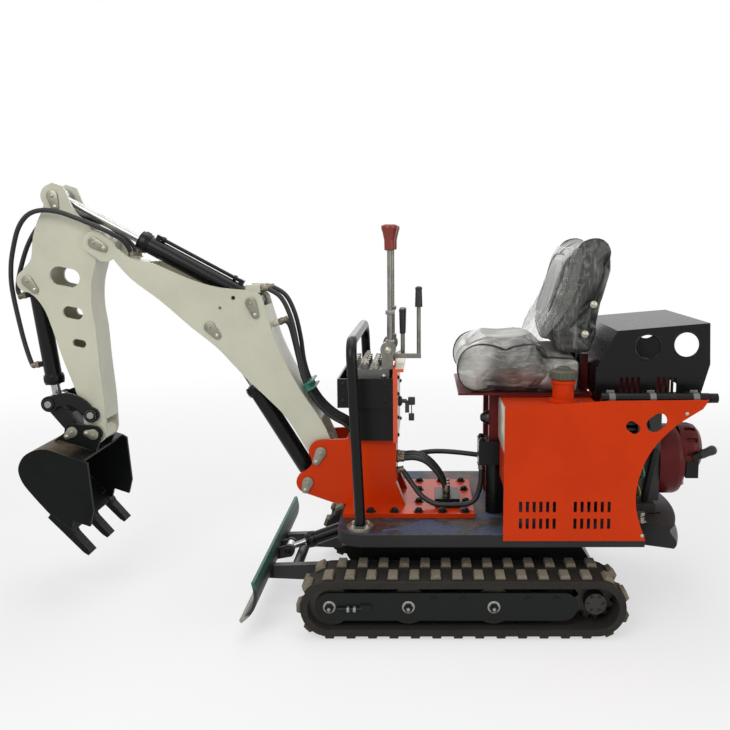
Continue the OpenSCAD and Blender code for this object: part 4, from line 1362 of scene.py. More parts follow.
@dataclass
class Seat:
    """Padded cushion and back rest, blown up by a cloth simulation, with welts."""

    tools: Hardware
    voxel: float = 0.006
    inset: float = 10.0
    limit: float = 22.0
    frames: int = 20
    pressure: float = 4.0

    def blank(self, node: str, name: str) -> Piece:
        """A copy of a pad's solid with soft edges, a little smaller.

        Args:
            node: the solid.
            name: name of the copy.

        Returns:
            The copy.
        """
        piece = bpy.data.objects.new(name, frame["nodes"][node].data.copy())
        bpy.context.scene.collection.objects.link(piece)
        Bench.take(piece)
        bpy.ops.object.mode_set(mode="EDIT")
        bpy.ops.mesh.select_all(action="SELECT")
        bpy.ops.mesh.remove_doubles(threshold=1e-5)
        bpy.ops.object.mode_set(mode="OBJECT")
        piece.data.remesh_voxel_size = self.voxel
        bpy.ops.object.voxel_remesh()
        bpy.ops.object.mode_set(mode="EDIT")
        bpy.ops.mesh.select_all(action="SELECT")
        bpy.ops.mesh.vertices_smooth(factor=0.5, repeat=30)
        bpy.ops.transform.shrink_fatten(value=-self.inset * MM)
        bpy.ops.object.mode_set(mode="OBJECT")
        return piece

    @staticmethod
    def places(piece: Piece) -> np.ndarray:
        """The places of a piece's points, one a row."""
        flat = np.empty(3 * len(piece.data.vertices), dtype=np.float32)
        piece.data.vertices.foreach_get("co", flat)
        return flat.reshape(-1, 3)

    @staticmethod
    def place(piece: Piece, points: np.ndarray) -> None:
        """Moves a piece's points to new places."""
        piece.data.vertices.foreach_set("co", np.ascontiguousarray(points, dtype=np.float32).ravel())
        piece.data.update()

    def swell(self, piece: Piece, floor: float) -> None:
        """Blows a pad up like sewn vinyl over foam, and keeps it flat where it rests.

        Args:
            piece: the pad.
            floor: height of what it rests on, in metres.
        """
        start = self.places(piece).copy()
        Bench.take(piece)
        bpy.ops.object.modifier_add(type="CLOTH")
        cloth = piece.modifiers[-1]
        cloth.settings.use_pressure = True
        cloth.settings.uniform_pressure_force = self.pressure
        cloth.settings.effector_weights.gravity = 0.0
        cloth.point_cache.frame_end = self.frames
        for step in range(1, self.frames + 1):
            bpy.context.scene.frame_set(step)
        bpy.ops.object.modifier_apply(modifier=cloth.name)
        bpy.context.scene.frame_set(1)
        shift = self.places(piece) - start
        size = np.maximum(np.linalg.norm(shift, axis=1, keepdims=True), 1e-9)
        points = start + shift * np.minimum(1.0, self.limit * MM / size)
        points[:, 2] = np.maximum(points[:, 2], floor)
        self.place(piece, points)

    def groove(self, piece: Piece, distance: Callable[[np.ndarray], np.ndarray], width: float, depth: float) -> None:
        """Presses a sewn channel into a pad.

        Args:
            piece: the pad.
            distance: how far each point lies from the seam, in metres.
            width: half-width of the channel in millimetres.
            depth: its depth in millimetres.
        """
        points = self.places(piece)
        normals = np.array([vertex.normal for vertex in piece.data.vertices])
        press = depth * MM * np.exp(-((distance(points) / (width * MM)) ** 2))
        self.place(piece, points - normals * press[:, None])

    def finish(self, piece: Piece, node: str, cover: bpy.types.Material, fill: float = 0.8) -> None:
        """Smooths, covers and mounts a pad, and hides its solid.

        Args:
            piece: the pad.
            node: the solid that it stands for.
            cover: its material.
            fill: how tight it is stuffed; not used.
        """
        Bench.take(piece)
        bpy.ops.object.modifier_add(type="SUBSURF")
        piece.modifiers[-1].levels = 1
        piece.modifiers[-1].render_levels = 1
        bpy.ops.object.modifier_apply(modifier=piece.modifiers[-1].name)
        Bench.settle(piece, piece.name)
        Bench.hand_over(piece, "upper", cover, "seat_vinyl", 80)
        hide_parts(node)

    def welt(self, name: str, pad: Piece, points: Sequence[Vector], closed: bool) -> Piece:
        """A piped seam laid on a pad.

        Args:
            name: the piece's name.
            pad: the pad.
            points: places near its surface.
            closed: whether the seam runs back to its start.

        Returns:
            The piped seam.
        """
        line = []
        for point in points:
            _, place, normal, _ = pad.closest_point_on_mesh(point)
            line.append(place + normal * 0.5 * MM)
        return Bench.tube(name, line, 3.6, closed, 2)

    def welts(self, pad: Piece, outline: Profile, half: float, body: str) -> None:
        """Piped seams along both sides of a pad.

        Args:
            pad: the pad.
            outline: its outline seen from the side, in millimetres.
            half: how far the seams lie from the middle, in millimetres.
            body: the body that they ride on.
        """
        parts = []
        for side in (1, -1):
            line = []
            for (x0, z0), (x1, z1) in zip(outline, list(outline[1:]) + [outline[0]]):
                steps = max(1, int(math.hypot(x1 - x0, z1 - z0) / 14))
                first, step = spot(x0, side * half, z0), Vector((x1 - x0, 0, z1 - z0)) * MM / steps
                line += [first + step * k for k in range(steps)]
            parts.append(self.welt("welt", pad, line, True))
        Bench.hand_over(Bench.join(f"{pad.name}_welts", parts), body, self.tools.finishes.grip, "seat_vinyl", 60)

    @staticmethod
    def off_ring(along: np.ndarray, across: np.ndarray, half: tuple[float, float], radius: float = 0.06) -> np.ndarray:
        """How far places on a pad's face lie from a ring with round corners.

        Args:
            along, across: the places from the ring's middle, in metres.
            half: half the length of the ring's straight sides, along and across.
            radius: radius of its corners.

        Returns:
            The distances in metres.
        """
        past = np.hypot(np.maximum(np.abs(along) - half[0], 0), np.maximum(np.abs(across) - half[1], 0))
        return np.abs(past - radius)

    def build(self) -> None:
        """Makes the cushion, the back rest, their welts and the recliner's bolts."""
        cushion = self.blank("seat_cushion", "cushion_pad")
        low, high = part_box("seat_cushion")
        self.swell(cushion, low.z + 0.0004)
        insert = spot(-150, 0, 0).x
        top = high.z - 0.06
        self.groove(
            cushion, lambda p: self.off_ring(p[:, 0] - insert, p[:, 1], (0.07, 0.09)) + (p[:, 2] < top), 7, 6
        )
        self.finish(cushion, "seat_cushion", self.tools.finishes.cushion)
        rest = self.blank("seat_back", "back_pad")
        low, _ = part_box("seat_back")
        self.swell(rest, low.z + 0.0004)
        front = spot(-380, 0, 0).x
        middle, lean = 1.06, 0.3
        self.groove(
            rest,
            lambda p: self.off_ring(p[:, 2] - middle, p[:, 1], (0.06, 0.07))
            + (p[:, 0] + lean * (p[:, 2] - middle) < front),
            7, 6,
        )
        self.finish(rest, "seat_back", self.tools.finishes.back)
        side = [
            (-380, 742), (-20, 742), (14, 770), (20, 830), (0, 880), (-60, 898), (-200, 900), (-270, 870), (-380, 848),
        ]
        self.welts(cushion, side, 196, "upper")
        side = [
            (-415, 870), (-300, 870), (-290, 950), (-345, 1140), (-390, 1236), (-440, 1244), (-480, 1205), (-440, 990),
        ]
        self.welts(rest, side, 190, "upper")
        recliner = [(spot(x, s * 216, z), LEFT * s) for x, z in ((-421, 1026), (-395, 931)) for s in (1, -1)]
        self.tools.bolts("recliner_bolts", "upper", 9, recliner, "zinc")
        self.film()

    def film(self) -> None:
        """The clear film that spans from the cushion to the top of the back rest."""
        Bench.clear()
        bpy.ops.mesh.primitive_grid_add(x_subdivisions=44, y_subdivisions=30, size=2.0)
        piece = bpy.context.object
        flat = self.places(piece)
        side, rise = flat[:, 0], (flat[:, 1] + 1) / 2
        folded = np.clip((np.abs(side) - 0.8) / 0.2, 0, 1)
        sag = 16 * np.sin(np.pi * rise) * (1 - side**2)
        x = -236 - 128 * rise - sag - 64 * folded * (0.3 + 0.7 * np.sin(np.pi * rise))
        y = np.sign(side) * np.minimum(np.abs(side) / 0.8, 1) * (206 - 10 * rise) + 4 * np.sign(side) * folded
        z = 906 + 300 * rise
        self.place(piece, np.stack([x * MM + SLEW_X, y * MM, z * MM], axis=1))
        crumple = bpy.data.textures.new("crumple", "CLOUDS")
        crumple.noise_scale = 0.06
        Bench.take(piece)
        bpy.ops.object.modifier_add(type="DISPLACE")
        press = piece.modifiers[-1]
        press.texture = crumple
        press.strength = 0.018
        bpy.ops.object.modifier_apply(modifier=press.name)
        Bench.settle(piece, "seat_film")
        Bench.hand_over(piece, "upper", self.tools.finishes.film, "seat_vinyl", 180)


@dataclass
class Undercarriage:
    """Belt beads, axle ends and tightener nuts."""

    tools: Hardware

    def belt(self, node: str) -> None:
        """Adds the beads along a track's edges.

        Args:
            node: the track's solid.
        """
        low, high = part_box(node)
        middle = (low + high) / 2
        reach = (high.z - low.z) / 2
        half_base = (high.x - low.x) / 2 - reach
        face = reach - 18 * MM
        half = (high.y - low.y) / 2

        def place(share: float, y: float) -> Vector:
            """A place on the belt's outer face, by its share of the way round."""
            arc = math.pi * face
            run = share * (4 * half_base + 2 * arc)
            if run < 2 * half_base:
                return Vector((middle.x - half_base + run, y, middle.z + face))
            run -= 2 * half_base
            if run < arc:
                turn = run / face
                return Vector((middle.x + half_base + face * math.sin(turn), y, middle.z + face * math.cos(turn)))
            run -= arc
            if run < 2 * half_base:
                return Vector((middle.x + half_base - run, y, middle.z - face))
            turn = (run - 2 * half_base) / face
            return Vector((middle.x - half_base - face * math.sin(turn), y, middle.z - face * math.cos(turn)))

        beads = [
            Bench.tube("bead", [place(k / 120, middle.y + side * (half - 4 * MM)) for k in range(120)], 4.5, True, 2)
            for side in (1, -1)
        ]
        piece = Bench.join(f"{node}_beads", beads)
        Bench.hand_over(piece, "undercarriage", self.tools.finishes.track, "track_rubber", 45)

    def build(self) -> None:
        """Makes both belts' beads, the axle ends and the tightener nuts."""
        for node in ("track_left", "track_right"):
            self.belt(node)
        ends = []
        for side in (1, -1):
            for x in (170, -95, 415):
                ends.append((spot(x, side * 426, 102), LEFT * side))
        stud = Bench.turned("stud", [(6, 0), (6, 5), (5, 6.5)], ORIGIN, UP, 14)
        ring = Bench.turned("ring", [(18.5, -15.5), (20, -14), (20, -12.6), (18.5, -11.6)], ORIGIN, UP, 26)
        piece = Bench.copies("axle_ends", Bench.join("stud", [stud, ring]), ends)
        Bench.hand_over(piece, "undercarriage", self.tools.finishes.steel, "bare_steel")
        screws = []
        for side in (1, -1):
            screws.append((spot(332, side * 418, 98), FORWARD))
            screws.append((spot(352, side * 418, 98), FORWARD))
        nut = Bench.turned("nut", [(11, 0), (11, 9)], ORIGIN, UP, 6, 1.2)
        piece = Bench.copies("tightener_nuts", nut, screws)
        Bench.hand_over(piece, "undercarriage", self.tools.finishes.steel, "bare_steel")


@dataclass
class DozerBlade:
    """Bolts, welds and gland of the blade."""

    tools: Hardware
    cylinder: tuple[tuple[float, float], tuple[float, float]] = ((400, 213), (602, 138))
    back_x: float = 636

    def build(self) -> None:
        """Makes the blade's small pieces."""
        sides = ((1, LEFT), (-1, RIGHT))
        self.tools.bolts("blade_pivot_bolts", "blade", 9, [(spot(345, s * 184, 112), way) for s, way in sides])
        (base_x, base_z), (tip_x, tip_z) = self.cylinder
        self.tools.bolts("blade_pin_bolts", "blade", 8, [(spot(tip_x, s * 46, tip_z), way) for s, way in sides])
        places = [(spot(base_x, s * 40, base_z), way) for s, way in sides]
        self.tools.bolts("blade_base_bolts", "undercarriage", 8, places)
        seams = [[spot(self.back_x, y, z) for z in (94, 114, 134)] for s in (1, -1) for y in (s * 136, s * 166)]
        seams += [[spot(self.back_x, y, z) for z in (112, 148)] for s in (1, -1) for y in (s * 27, s * 41)]
        self.tools.welds("blade_welds", "blade", seams, self.tools.finishes.satin_black, 4)
        base, tip = (spot(x, 0, z) for x, z in self.cylinder)
        self.tools.gland("blade_gland", "blade_barrel", base, tip, 148, 22)


@dataclass(frozen=True)
class PinLock:
    """A teardrop plate over the end of a pin, with a bolt in its tail."""

    body: str
    pin: tuple[float, float]
    tail: tuple[float, float]
    face: float
    small: float = 12.6
    big: float = 18.6

    def outline(self, y: float) -> list[Vector]:
        """The plate's edge at one distance from the middle plane.

        Args:
            y: that distance in millimetres.

        Returns:
            The edge's corners.
        """
        heading = math.atan2(self.tail[1], self.tail[0])
        lean = math.acos((self.big - self.small) / math.hypot(*self.tail))
        far = (self.pin[0] + self.tail[0], self.pin[1] + self.tail[1])
        edge = []
        for (x, z), radius, start, end in (
            (self.pin, self.big, heading + lean, heading + 2 * math.pi - lean),
            (far, self.small, heading - lean, heading + lean),
        ):
            edge += [spot(x + radius * math.cos(a), y, z + radius * math.sin(a)) for a in np.linspace(start, end, 15)]
        return edge

    def plates(self) -> list[Piece]:
        """The plate on each side."""
        return [
            Bench.plate("lock", self.outline(side * (self.face - 0.2)), Vector((0, side * 6.8 * MM, 0)), 1.0)
            for side in (1, -1)
        ]

    def bolts(self) -> list[Place]:
        """Foot and direction of the bolt in each plate's tail."""
        x, z = self.pin[0] + self.tail[0], self.pin[1] + self.tail[1]
        return [(spot(x, side * (self.face + 6.4), z), LEFT * side) for side in (1, -1)]

    def ends(self) -> list[Place]:
        """Foot and direction of the pin's end on each side."""
        return [(spot(self.pin[0], side * (self.face + 6.4), self.pin[1]), LEFT * side) for side in (1, -1)]


# The pins of the front as (x, z) in millimetres from the slew axis.
BOOM_PIN = (474, 511)
BOOM_CYLINDER = ((520, 406), (845, 939))
ARM_CYLINDER = ((704, 1020), (1360, 1376))
ARM_PIN = (1223, 1222)
BUCKET_CYLINDER = ((1459, 1093), (1404, 673))
BUCKET_PIN = (1255, 569)
LINK_PIN = (1327, 577.5)
ROCKER_PIN = (1262, 635)

PIN_LOCKS = (
    PinLock("upper", BOOM_PIN, (16, -32), 96),
    PinLock("upper", BOOM_CYLINDER[0], (9, -26), 96),
    PinLock("boom", BOOM_CYLINDER[1], (-25, -29), 76),
    PinLock("boom", ARM_CYLINDER[0], (-14, -40), 76),
    PinLock("boom", ARM_PIN, (-33, -19), 76),
    PinLock("arm", ARM_CYLINDER[1], (-8, -36), 60),
    PinLock("arm", BUCKET_CYLINDER[0], (-24, -29), 60),
    PinLock("bucket", BUCKET_PIN, (22, 5), 77, 10.6),
    PinLock("bucket", LINK_PIN, (18, -15), 77, 10.6),
)


@dataclass
class FrontLinkage:
    """Pin locks, nipples, welds, glands, pipes and tooth bolts of boom, arm and bucket."""

    tools: Hardware
    ring_face: float = 75.3
    arm_face: float = 59.6
    fitting_height: float = 38
    pipe_height: float = 38.2
    pipe_radius: float = 6.3
    tooth_rows: tuple[float, ...] = (-167, 0, 167)

    def locks(self) -> None:
        """The plates that lock the pins, their bolts, and the nipples in the pins' ends."""
        for body in ("upper", "boom", "arm", "bucket"):
            mine = [lock for lock in PIN_LOCKS if lock.body == body]
            plates = [plate for lock in mine for plate in lock.plates()]
            Bench.hand_over(Bench.join(f"{body}_locks", plates), body, self.tools.finishes.lock, "bare_steel")
            bolts = [place for lock in mine for place in lock.bolts()]
            self.tools.bolts(f"{body}_lock_bolts", body, 5.5, bolts, "zinc")
            self.tools.nipples(f"{body}_nipples", body, [place for lock in mine for place in lock.ends()])
        cap = [(19.6, 0), (19.6, 5), (17.5, 6.8), (9, 7.2)]
        face = [(12, 5), (12, 8), (10.8, 9.2), (4, 9.4)]
        for body, (x, z) in (("arm", ROCKER_PIN), ("rocker", BUCKET_CYLINDER[1])):
            ends = [(spot(x, side * self.ring_face, z), LEFT * side) for side in (1, -1)]
            piece = Bench.copies(f"{body}_pin_rings", Bench.turned("cap", cap, ORIGIN, UP, 32), ends)
            Bench.hand_over(piece, body, self.tools.finishes.satin_black, "bare_steel")
            piece = Bench.copies(f"{body}_pin_ends", Bench.turned("face", face, ORIGIN, UP, 32), ends)
            Bench.hand_over(piece, body, self.tools.finishes.steel, "bare_steel")

    def cylinders(self) -> None:
        """Gland nuts, and the steel pipe's fittings on the arm cylinder."""
        for name, body, pins, length, radius in (
            ("boom_gland", "boom_barrel", BOOM_CYLINDER, 377, 30),
            ("arm_gland", "arm_barrel", ARM_CYLINDER, 442, 30),
            ("bucket_gland", "bucket_barrel", BUCKET_CYLINDER, 363, 28),
        ):
            base, tip = (spot(x, 0, z) for x, z in pins)
            self.tools.gland(name, body, base, tip, length, radius)
        base, tip = (spot(x, 0, z) for x, z in ARM_CYLINDER)
        along = (tip - base).normalized()
        above = Vector((-along.z, 0, along.x))
        fittings = []
        for z, turn in ((92, 1), (376, -1)):
            foot = base + along * z * MM + above * self.fitting_height * MM
            fittings.append(Bench.turned("nut", [(10, 0), (10, 10), (8, 12)], foot, along * turn, 6))
        line = [base + along * z * MM + above * self.pipe_height * MM for z in (70, 150, 300, 390)]
        pipe = Bench.tube("pipe", line, self.pipe_radius)
        piece = Bench.join("arm_cylinder_pipe", [*fittings, pipe])
        Bench.hand_over(piece, "arm_barrel", self.tools.finishes.gloss_black, "bare_steel")

    def bucket(self) -> None:
        """Tooth bolts and the welds under the bucket's ears."""
        places = []
        for y in self.tooth_rows:
            places += [(spot(1291, y + d, 257.5), Vector((-0.79, 0, 0.61))) for d in (-10, 10)]
        self.tools.bolts("tooth_bolts", "bucket", 5, places, "dark_steel")
        seams = []
        for s in (1, -1):
            for y in (64, 78):
                seams.append([spot(1258, s * y, 509), spot(1300, s * y, 522), spot(1380, s * y, 546)])
        self.tools.welds("ear_welds", "bucket", seams, self.tools.finishes.bucket, 4)

    def welds(self) -> None:
        """Welds round the arm's bosses."""

        def ring(x: float, z: float, radius: float, y: float) -> list[Vector]:
            """A weld round a boss."""
            turns = np.linspace(0, 2 * math.pi, 25)
            return [spot(x + radius * math.cos(a), y, z + radius * math.sin(a)) for a in turns]

        bosses = ((ARM_PIN, 40), (BUCKET_PIN, 34), (ROCKER_PIN, 28))
        seams = [ring(x, z, radius, s * self.arm_face) for (x, z), radius in bosses for s in (1, -1)]
        self.tools.welds("arm_welds", "arm", seams, self.tools.finishes.cream, 2.2)

    def build(self) -> None:
        """Makes everything on the front."""
        self.locks()
        self.cylinders()
        self.bucket()
        self.welds()


@dataclass
class OperatorPlace:
    """Lever joints, handrail feet, valve fittings, dash bolts and key."""

    tools: Hardware
    lever_x: float = 236
    lever_y: float = 96
    rail_foot: tuple[float, float, float] = (325, 305, 315)
    valve_top: float = 800
    valve_rows: tuple[float, ...] = (-96, -48, 0, 48, 96)
    short_levers: tuple[float, ...] = (-34, 12)
    tall_lever: float = 44

    def levers(self) -> None:
        """Lock nuts and pivot bolts of the long levers."""
        nuts = [(spot(self.lever_x, s * self.lever_y, z), UP) for s in (1, -1) for z in (884, 984)]
        nut = Bench.turned("nut", [(16, 0), (17, 1.5), (17, 12), (15, 14)], ORIGIN, UP, 6)
        Bench.hand_over(Bench.copies("lever_nuts", nut, nuts), "upper", self.tools.finishes.steel, "bare_steel")
        self.tools.bolts("lever_pivots", "upper", 9, [(spot(242, s * 122, 866), LEFT * s) for s in (1, -1)], "zinc")

    def handrail(self) -> None:
        """Round feet of the handrail and their bolts."""
        flange = Bench.turned("flange", [(42.3, 0), (42.3, 11.5), (41.2, 12.6), (18, 12.6)], ORIGIN, UP, 40)
        x, y, z = self.rail_foot
        feet = [spot(x, s * y, z) for s in (1, -1)]
        piece = Bench.copies("handrail_feet", flange, [(foot, UP) for foot in feet])
        Bench.hand_over(piece, "upper", self.tools.finishes.lock, "bare_steel")
        round_foot = [Vector((22 * a, 22 * b, 12.4)) * MM for a in (1, -1) for b in (1, -1)]
        places = [(foot + at, UP) for foot in feet for at in round_foot]
        self.tools.bolts("handrail_bolts", "upper", 7.4, places, "zinc")

    def boots(self) -> None:
        """Boots where the short levers leave the valves, and the ends of their grips."""
        profile = [(16, 0), (16, 3), (12.5, 5), (14.5, 8), (11.5, 11), (13.5, 14), (9, 18)]
        boots = [Bench.turned("boot", profile, spot(262, y, self.valve_top), UP, 24) for y in self.short_levers]
        profile = [(15, 0), (15, 3), (11.5, 5), (13.5, 8), (10.6, 11)]
        boots.append(Bench.turned("boot", profile, spot(246, self.tall_lever, self.valve_top), UP, 24))
        Bench.hand_over(Bench.join("lever_boots", boots), "upper", self.tools.finishes.grip, "black")
        profile = [(11.8, 0), (12.6, 2), (12.6, 8), (9, 12), (3, 13)]
        caps = [Bench.turned("cap", profile, spot(196, y, 984), UP, 24) for y in self.short_levers]
        profile = [(11.6, 0), (12.2, 2), (11.6, 8), (7, 11), (2, 12)]
        caps.append(Bench.turned("cap", profile, spot(140, self.tall_lever, 1063), UP, 24))
        Bench.hand_over(Bench.join("grip_ends", caps), "upper", self.tools.finishes.grip, "black")

    def valves(self) -> None:
        """Caps, tie bolts and unions on the valve bank."""
        tops = [(spot(321, y, 822), UP) for y in self.valve_rows]
        cap = Bench.turned("cap", [(15.4, -6), (15.4, 2), (12, 4), (9, 5), (9, 11), (7.6, 12.5)], ORIGIN, UP, 6)
        Bench.hand_over(Bench.copies("valve_caps", cap, tops), "upper", self.tools.finishes.zinc, "bare_steel")
        unions = [(spot(x, y, self.valve_top), UP) for y in self.valve_rows for x in (285, 357)]
        union = Bench.turned("union", [(12, 0), (12, 9), (9, 10), (9, 14), (11, 15), (11, 24), (9, 26)], ORIGIN, UP, 6)
        Bench.hand_over(Bench.copies("valve_unions", union, unions), "upper", self.tools.finishes.zinc, "bare_steel")
        faces = ((122, LEFT), (-118, RIGHT))
        ties = [(spot(x, y, z), way) for x in (256, 362) for z in (712, 778) for y, way in faces]
        self.tools.bolts("valve_ties", "upper", 6, ties, "zinc")

    def dash(self) -> None:
        """Bolts of the dash, the key's bow and its hanging tag."""
        bolts = [(spot(210, y, z), BACK) for y in (-130, 130) for z in (580, 640, 720, 776)]
        self.tools.bolts("dash_bolts", "upper", 6, bolts)
        bolts = [(spot(x, s * 150, z), LEFT * s) for x in (250, 390) for z in (700, 756) for s in (1, -1)]
        self.tools.bolts("console_bolts", "upper", 6, bolts)
        bow = Bench.slab("bow", spot(152, 96, 676), spot(176, 104, 704), 3)
        collar = Bench.turned("collar", [(17, 0), (18, 1.5), (18, 7), (15, 9), (10, 10)], spot(208, 100, 690), BACK, 28)
        tag = Bench.slab("tag", spot(155, 98, 622), spot(174, 102, 648), 2)
        chain = Bench.tube("chain", [spot(164, 100, z) for z in (678, 668, 658, 648)], 1.6, sides=1)
        Bench.hand_over(Bench.join("start_key", [bow, collar, tag, chain]), "upper", self.tools.finishes.grip, "black")

    def build(self) -> None:
        """Makes everything at the operator's place."""
        self.levers()
        self.handrail()
        self.boots()
        self.valves()
        self.dash()


@dataclass
class Machinery:
    """Caps, screws, covers, rims, starter, wires and fittings round the engine."""

    tools: Hardware
    line_steps: int = 8
    filler: tuple[float, float] = (-318, 280)
    cap_foot: float = 797
    collar_foot: float = 784
    cap_ribs: int = 18
    panel_face: float = 366
    flange_top: float = 329
    rail: tuple[float, float] = (335, 745)
    rail_clamps: tuple[float, ...] = (-459, -585, -719)
    portholes: tuple[tuple[float, float], ...] = ((-590, 893), (-713, 901))
    porthole_radius: float = 42
    porthole_face: float = 248

    def fillers(self) -> None:
        """Ribbed filler caps and the collars under them."""
        x, y = self.filler
        parts = []
        for s in (1, -1):
            foot = spot(x, s * y, self.cap_foot)
            profile = [(37, 0), (42, 2), (42.5, 10), (42, 24), (38, 28), (20, 30)]
            parts.append(Bench.turned("cap", profile, foot, UP, 36))
            parts.append(Bench.turned("grip", [(24, 27), (23, 36), (18, 39), (6, 40)], foot, UP, 6))
            for k in range(self.cap_ribs):
                turn = k * 2 * math.pi / self.cap_ribs
                rib = Bench.slab("rib", Vector((41, -2.2, 3)) * MM, Vector((45, 2.2, 23)) * MM, 1)
                rib.matrix_world = Matrix.Translation(foot) @ Matrix.Rotation(turn, 4, "Z")
                parts.append(Bench.settle(rib, "rib"))
        Bench.hand_over(Bench.join("filler_caps", parts), "upper", self.tools.finishes.cap, "black")
        profile = [(35, 0), (39, 1), (39.6, 5), (39, 9), (35, 10)]
        collars = [Bench.turned("collar", profile, spot(x, s * y, self.collar_foot), UP, 36) for s in (1, -1)]
        Bench.hand_over(Bench.join("filler_collars", collars), "upper", self.tools.finishes.orange, "orange")

    def screws(self) -> None:
        """Screws of the side panels, bolts of the kingpost's flange and studs of the engine's feet."""
        corners = ((-685, 702), (-559, 314))
        places = [(spot(x, s * self.panel_face, z), LEFT * s) for x, z in corners for s in (1, -1)]
        self.tools.bolts("panel_screws", "upper", 4.5, places, "zinc")
        flange = [(x, 178) for x in (-15, 60, 140, 220, 300)] + [(-22, 70), (140, 70)]
        places = [(spot(x, s * y, self.flange_top), UP) for x, y in flange for s in (1, -1)]
        self.tools.bolts("flange_bolts", "upper", 13, places)
        profile = [(22, 0), (22, 4), (15, 5), (15, 16), (9, 17), (9, 21), (16, 22), (16, 32), (11, 34)]
        feet = [(spot(x, s * 235, 315), UP) for x in (-585, -545) for s in (1, -1)]
        studs = Bench.copies("engine_studs", Bench.turned("stud", profile, ORIGIN, UP, 6), feet)
        Bench.hand_over(studs, "upper", self.tools.finishes.zinc, "bare_steel")

    def covers(self) -> None:
        """The pale cover under the seat, the gussets' pale edges, the rails' saddles and the post's knob."""
        cream = self.tools.finishes.cream
        spans = ((-358, -150), (-110, 110), (150, 358))
        plates = [Bench.slab("cover", spot(-128.4, low, 578), spot(-125.2, high, 719), 1.2) for low, high in spans]
        Bench.hand_over(Bench.join("front_covers", plates), "upper", cream, "cream")
        edge = Bench.slab("edge", Vector((-8, -1.6, 2)) * MM, Vector((8, 1.6, 85)) * MM, 1)
        lean = spot(217, 0, 410) - spot(185, 0, self.flange_top)
        places = [(spot(185, s * 90, self.flange_top), lean) for s in (1, -1)]
        Bench.hand_over(Bench.copies("gusset_edges", edge, places), "upper", cream, "cream")
        saddle = Bench.turned("saddle", [(16.4, -10), (17.6, -9), (17.6, 9), (16.4, 10)], ORIGIN, UP, 28)
        ear = Bench.slab("ear", Vector((-22, 8, -12)) * MM, Vector((-17, 22, 12)) * MM, 1)
        clamp = Bench.join("clamp", [saddle, ear])
        y, z = self.rail
        places = [(spot(x, s * y, z), FORWARD) for x in self.rail_clamps for s in (1, -1)]
        Bench.hand_over(Bench.copies("rail_saddles", clamp, places), "upper", self.tools.finishes.cast, "bare_steel")
        profile = [(24.8, 0), (25, 4), (20, 12), (15.4, 20), (12, 26), (7, 28.5)]
        knob = Bench.turned("post_knob", profile, spot(-95, 130, 640), FORWARD, 32)
        Bench.hand_over(knob, "upper", self.tools.finishes.grip, "black")

    def rims(self) -> None:
        """Rolled rims round the hood's portholes."""
        parts = []
        radius = self.porthole_radius
        turns = np.linspace(0, 2 * math.pi, 48, endpoint=False)
        for s in (1, -1):
            for x, z in self.portholes:
                y = s * self.porthole_face
                ring = [spot(x + radius * math.cos(a), y, z + radius * math.sin(a)) for a in turns]
                parts.append(Bench.tube("rim", ring, 3.2, True, 2))
        Bench.hand_over(Bench.join("porthole_rims", parts), "upper", self.tools.finishes.gloss_black, "black", 60)

    def lead(self, name: str, points: Sequence[Vector], radius: float, finish: bpy.types.Material) -> None:
        """A thin line between two places on the engine.

        Args:
            name: the piece's name.
            points: places that it passes.
            radius: its radius in millimetres.
            finish: its material.
        """
        line = curve(points, self.line_steps)
        piece = Bench.tube(name, line, radius)
        Bench.hand_over(piece, "upper", finish, "hose_rubber", 60)
        declare_cord(line, radius)

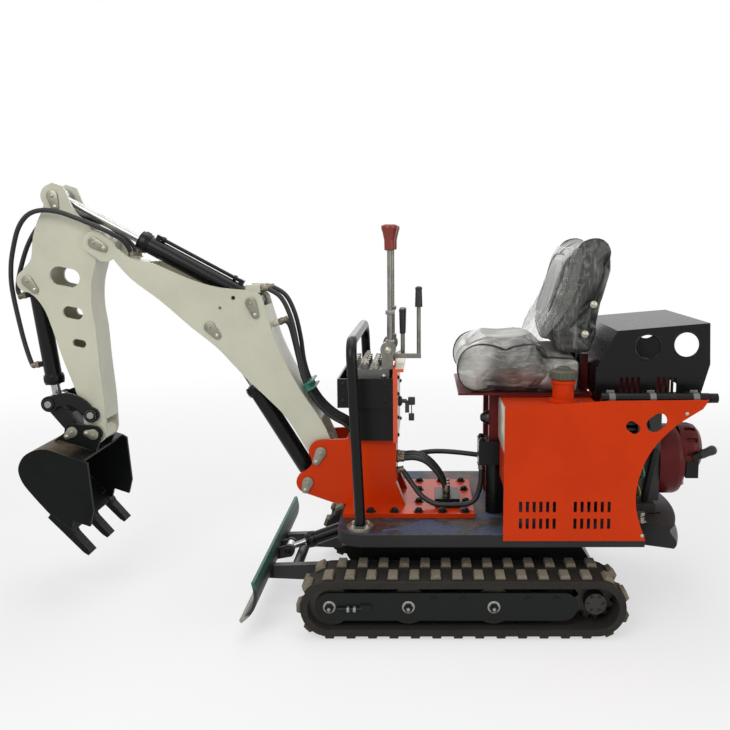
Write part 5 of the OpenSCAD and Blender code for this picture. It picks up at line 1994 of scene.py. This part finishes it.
    def starter(self) -> None:
        """The starter's hub and grip, the shroud's screws and stays, and the engine's small lines."""
        finishes = self.tools.finishes
        hub = Bench.turned("starter_hub", [(30, -6), (30, 1), (24, 4), (10, 5)], spot(-844, 0, 504), BACK, 32)
        Bench.hand_over(hub, "upper", finishes.maroon, "maroon")
        start, end = spot(-800, 80, 486), spot(-866, 80, 513)
        grip = [(14.6, 30), (15.5, 40), (15, 56), (17, 70), (16, 80), (9, 87)]
        Bench.hand_over(Bench.turned("starter_grip", grip, start, end - start, 28), "upper", finishes.grip, "black")
        screws = [(spot(-770, s * 70, 396), BACK) for s in (1, -1)]
        self.tools.bolts("shroud_screws", "upper", 6, screws, "zinc")
        stay = Bench.slab("stay", Vector((-5, -9, 0)) * MM, Vector((5, 9, 186)) * MM, 1.5)
        places = [(spot(-628, s * 124.5, 345), spot(-662, 0, 530) - spot(-628, 0, 345)) for s in (1, -1)]
        Bench.hand_over(Bench.copies("shroud_stays", stay, places), "upper", finishes.satin_black, "black")
        profile = [(12, -6), (12, 10), (9, 14), (9, 30), (5, 34)]
        plug = Bench.turned("spark_plug", profile, spot(-560, 94, 650), LEFT, 18)
        Bench.hand_over(plug, "upper", finishes.grip, "black")
        for name, radius, finish, points in (
            ("plug_lead", 4.0, finishes.grip, [(-640, 117, 600), (-625, 150, 640), (-590, 155, 662), (-560, 114, 650)]),
            ("fuel_line", 4.5, finishes.grip, [(-470, 60, 470), (-500, 140, 470), (-545, 160, 500), (-560, 119, 540)]),
            (
                "green_wire", 4.0, finishes.green_wire,
                [(-600, 119, 505), (-606, 160, 482), (-612, 166, 450), (-604, 119, 425)],
            ),
            (
                "yellow_wire", 3.5, finishes.yellow_wire,
                [(-596, 119, 420), (-600, 152, 404), (-604, 154, 382), (-600, 119, 362)],
            ),
        ):
            self.lead(name, [spot(*point) for point in points], radius, finish)

    def pump(self) -> None:
        """Unions at the manifold and the pumps, and the bolts on the pump's head."""
        union = [(16, 0), (16, 8), (13.6, 9), (13.6, 16)]
        parts = [Bench.turned("union", union, spot(45, y, 351), UP, 6) for y in (10, 45, 80)]
        parts.append(Bench.turned("union", union, spot(-72, 130, 488.4), DOWN, 6))
        parts.append(Bench.turned("union", union, spot(-209, 0, 455), FORWARD, 6))
        Bench.hand_over(Bench.join("pump_unions", parts), "upper", self.tools.finishes.fitting, "bare_steel")
        places = [(spot(x, y, 567), UP) for x in (-140, -72) for y in (98, 162)]
        self.tools.bolts("pump_bolts", "upper", 9.5, places)

    def build(self) -> None:
        """Makes everything round the engine."""
        self.fillers()
        self.screws()
        self.covers()
        self.rims()
        self.starter()
        self.pump()


def main() -> None:
    """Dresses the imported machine."""
    logging.basicConfig(level=logging.INFO, format="%(name)s: %(message)s")
    finishes = Finishes()
    finishes.dress_solids()
    Studio().build()
    tools = Hardware(finishes)
    for assembly in (
        HydraulicHoses(tools), Seat(tools), Undercarriage(tools), DozerBlade(tools), FrontLinkage(tools),
        OperatorPlace(tools), Machinery(tools),
    ):
        assembly.build()


if __name__ == "__main__":
    main()
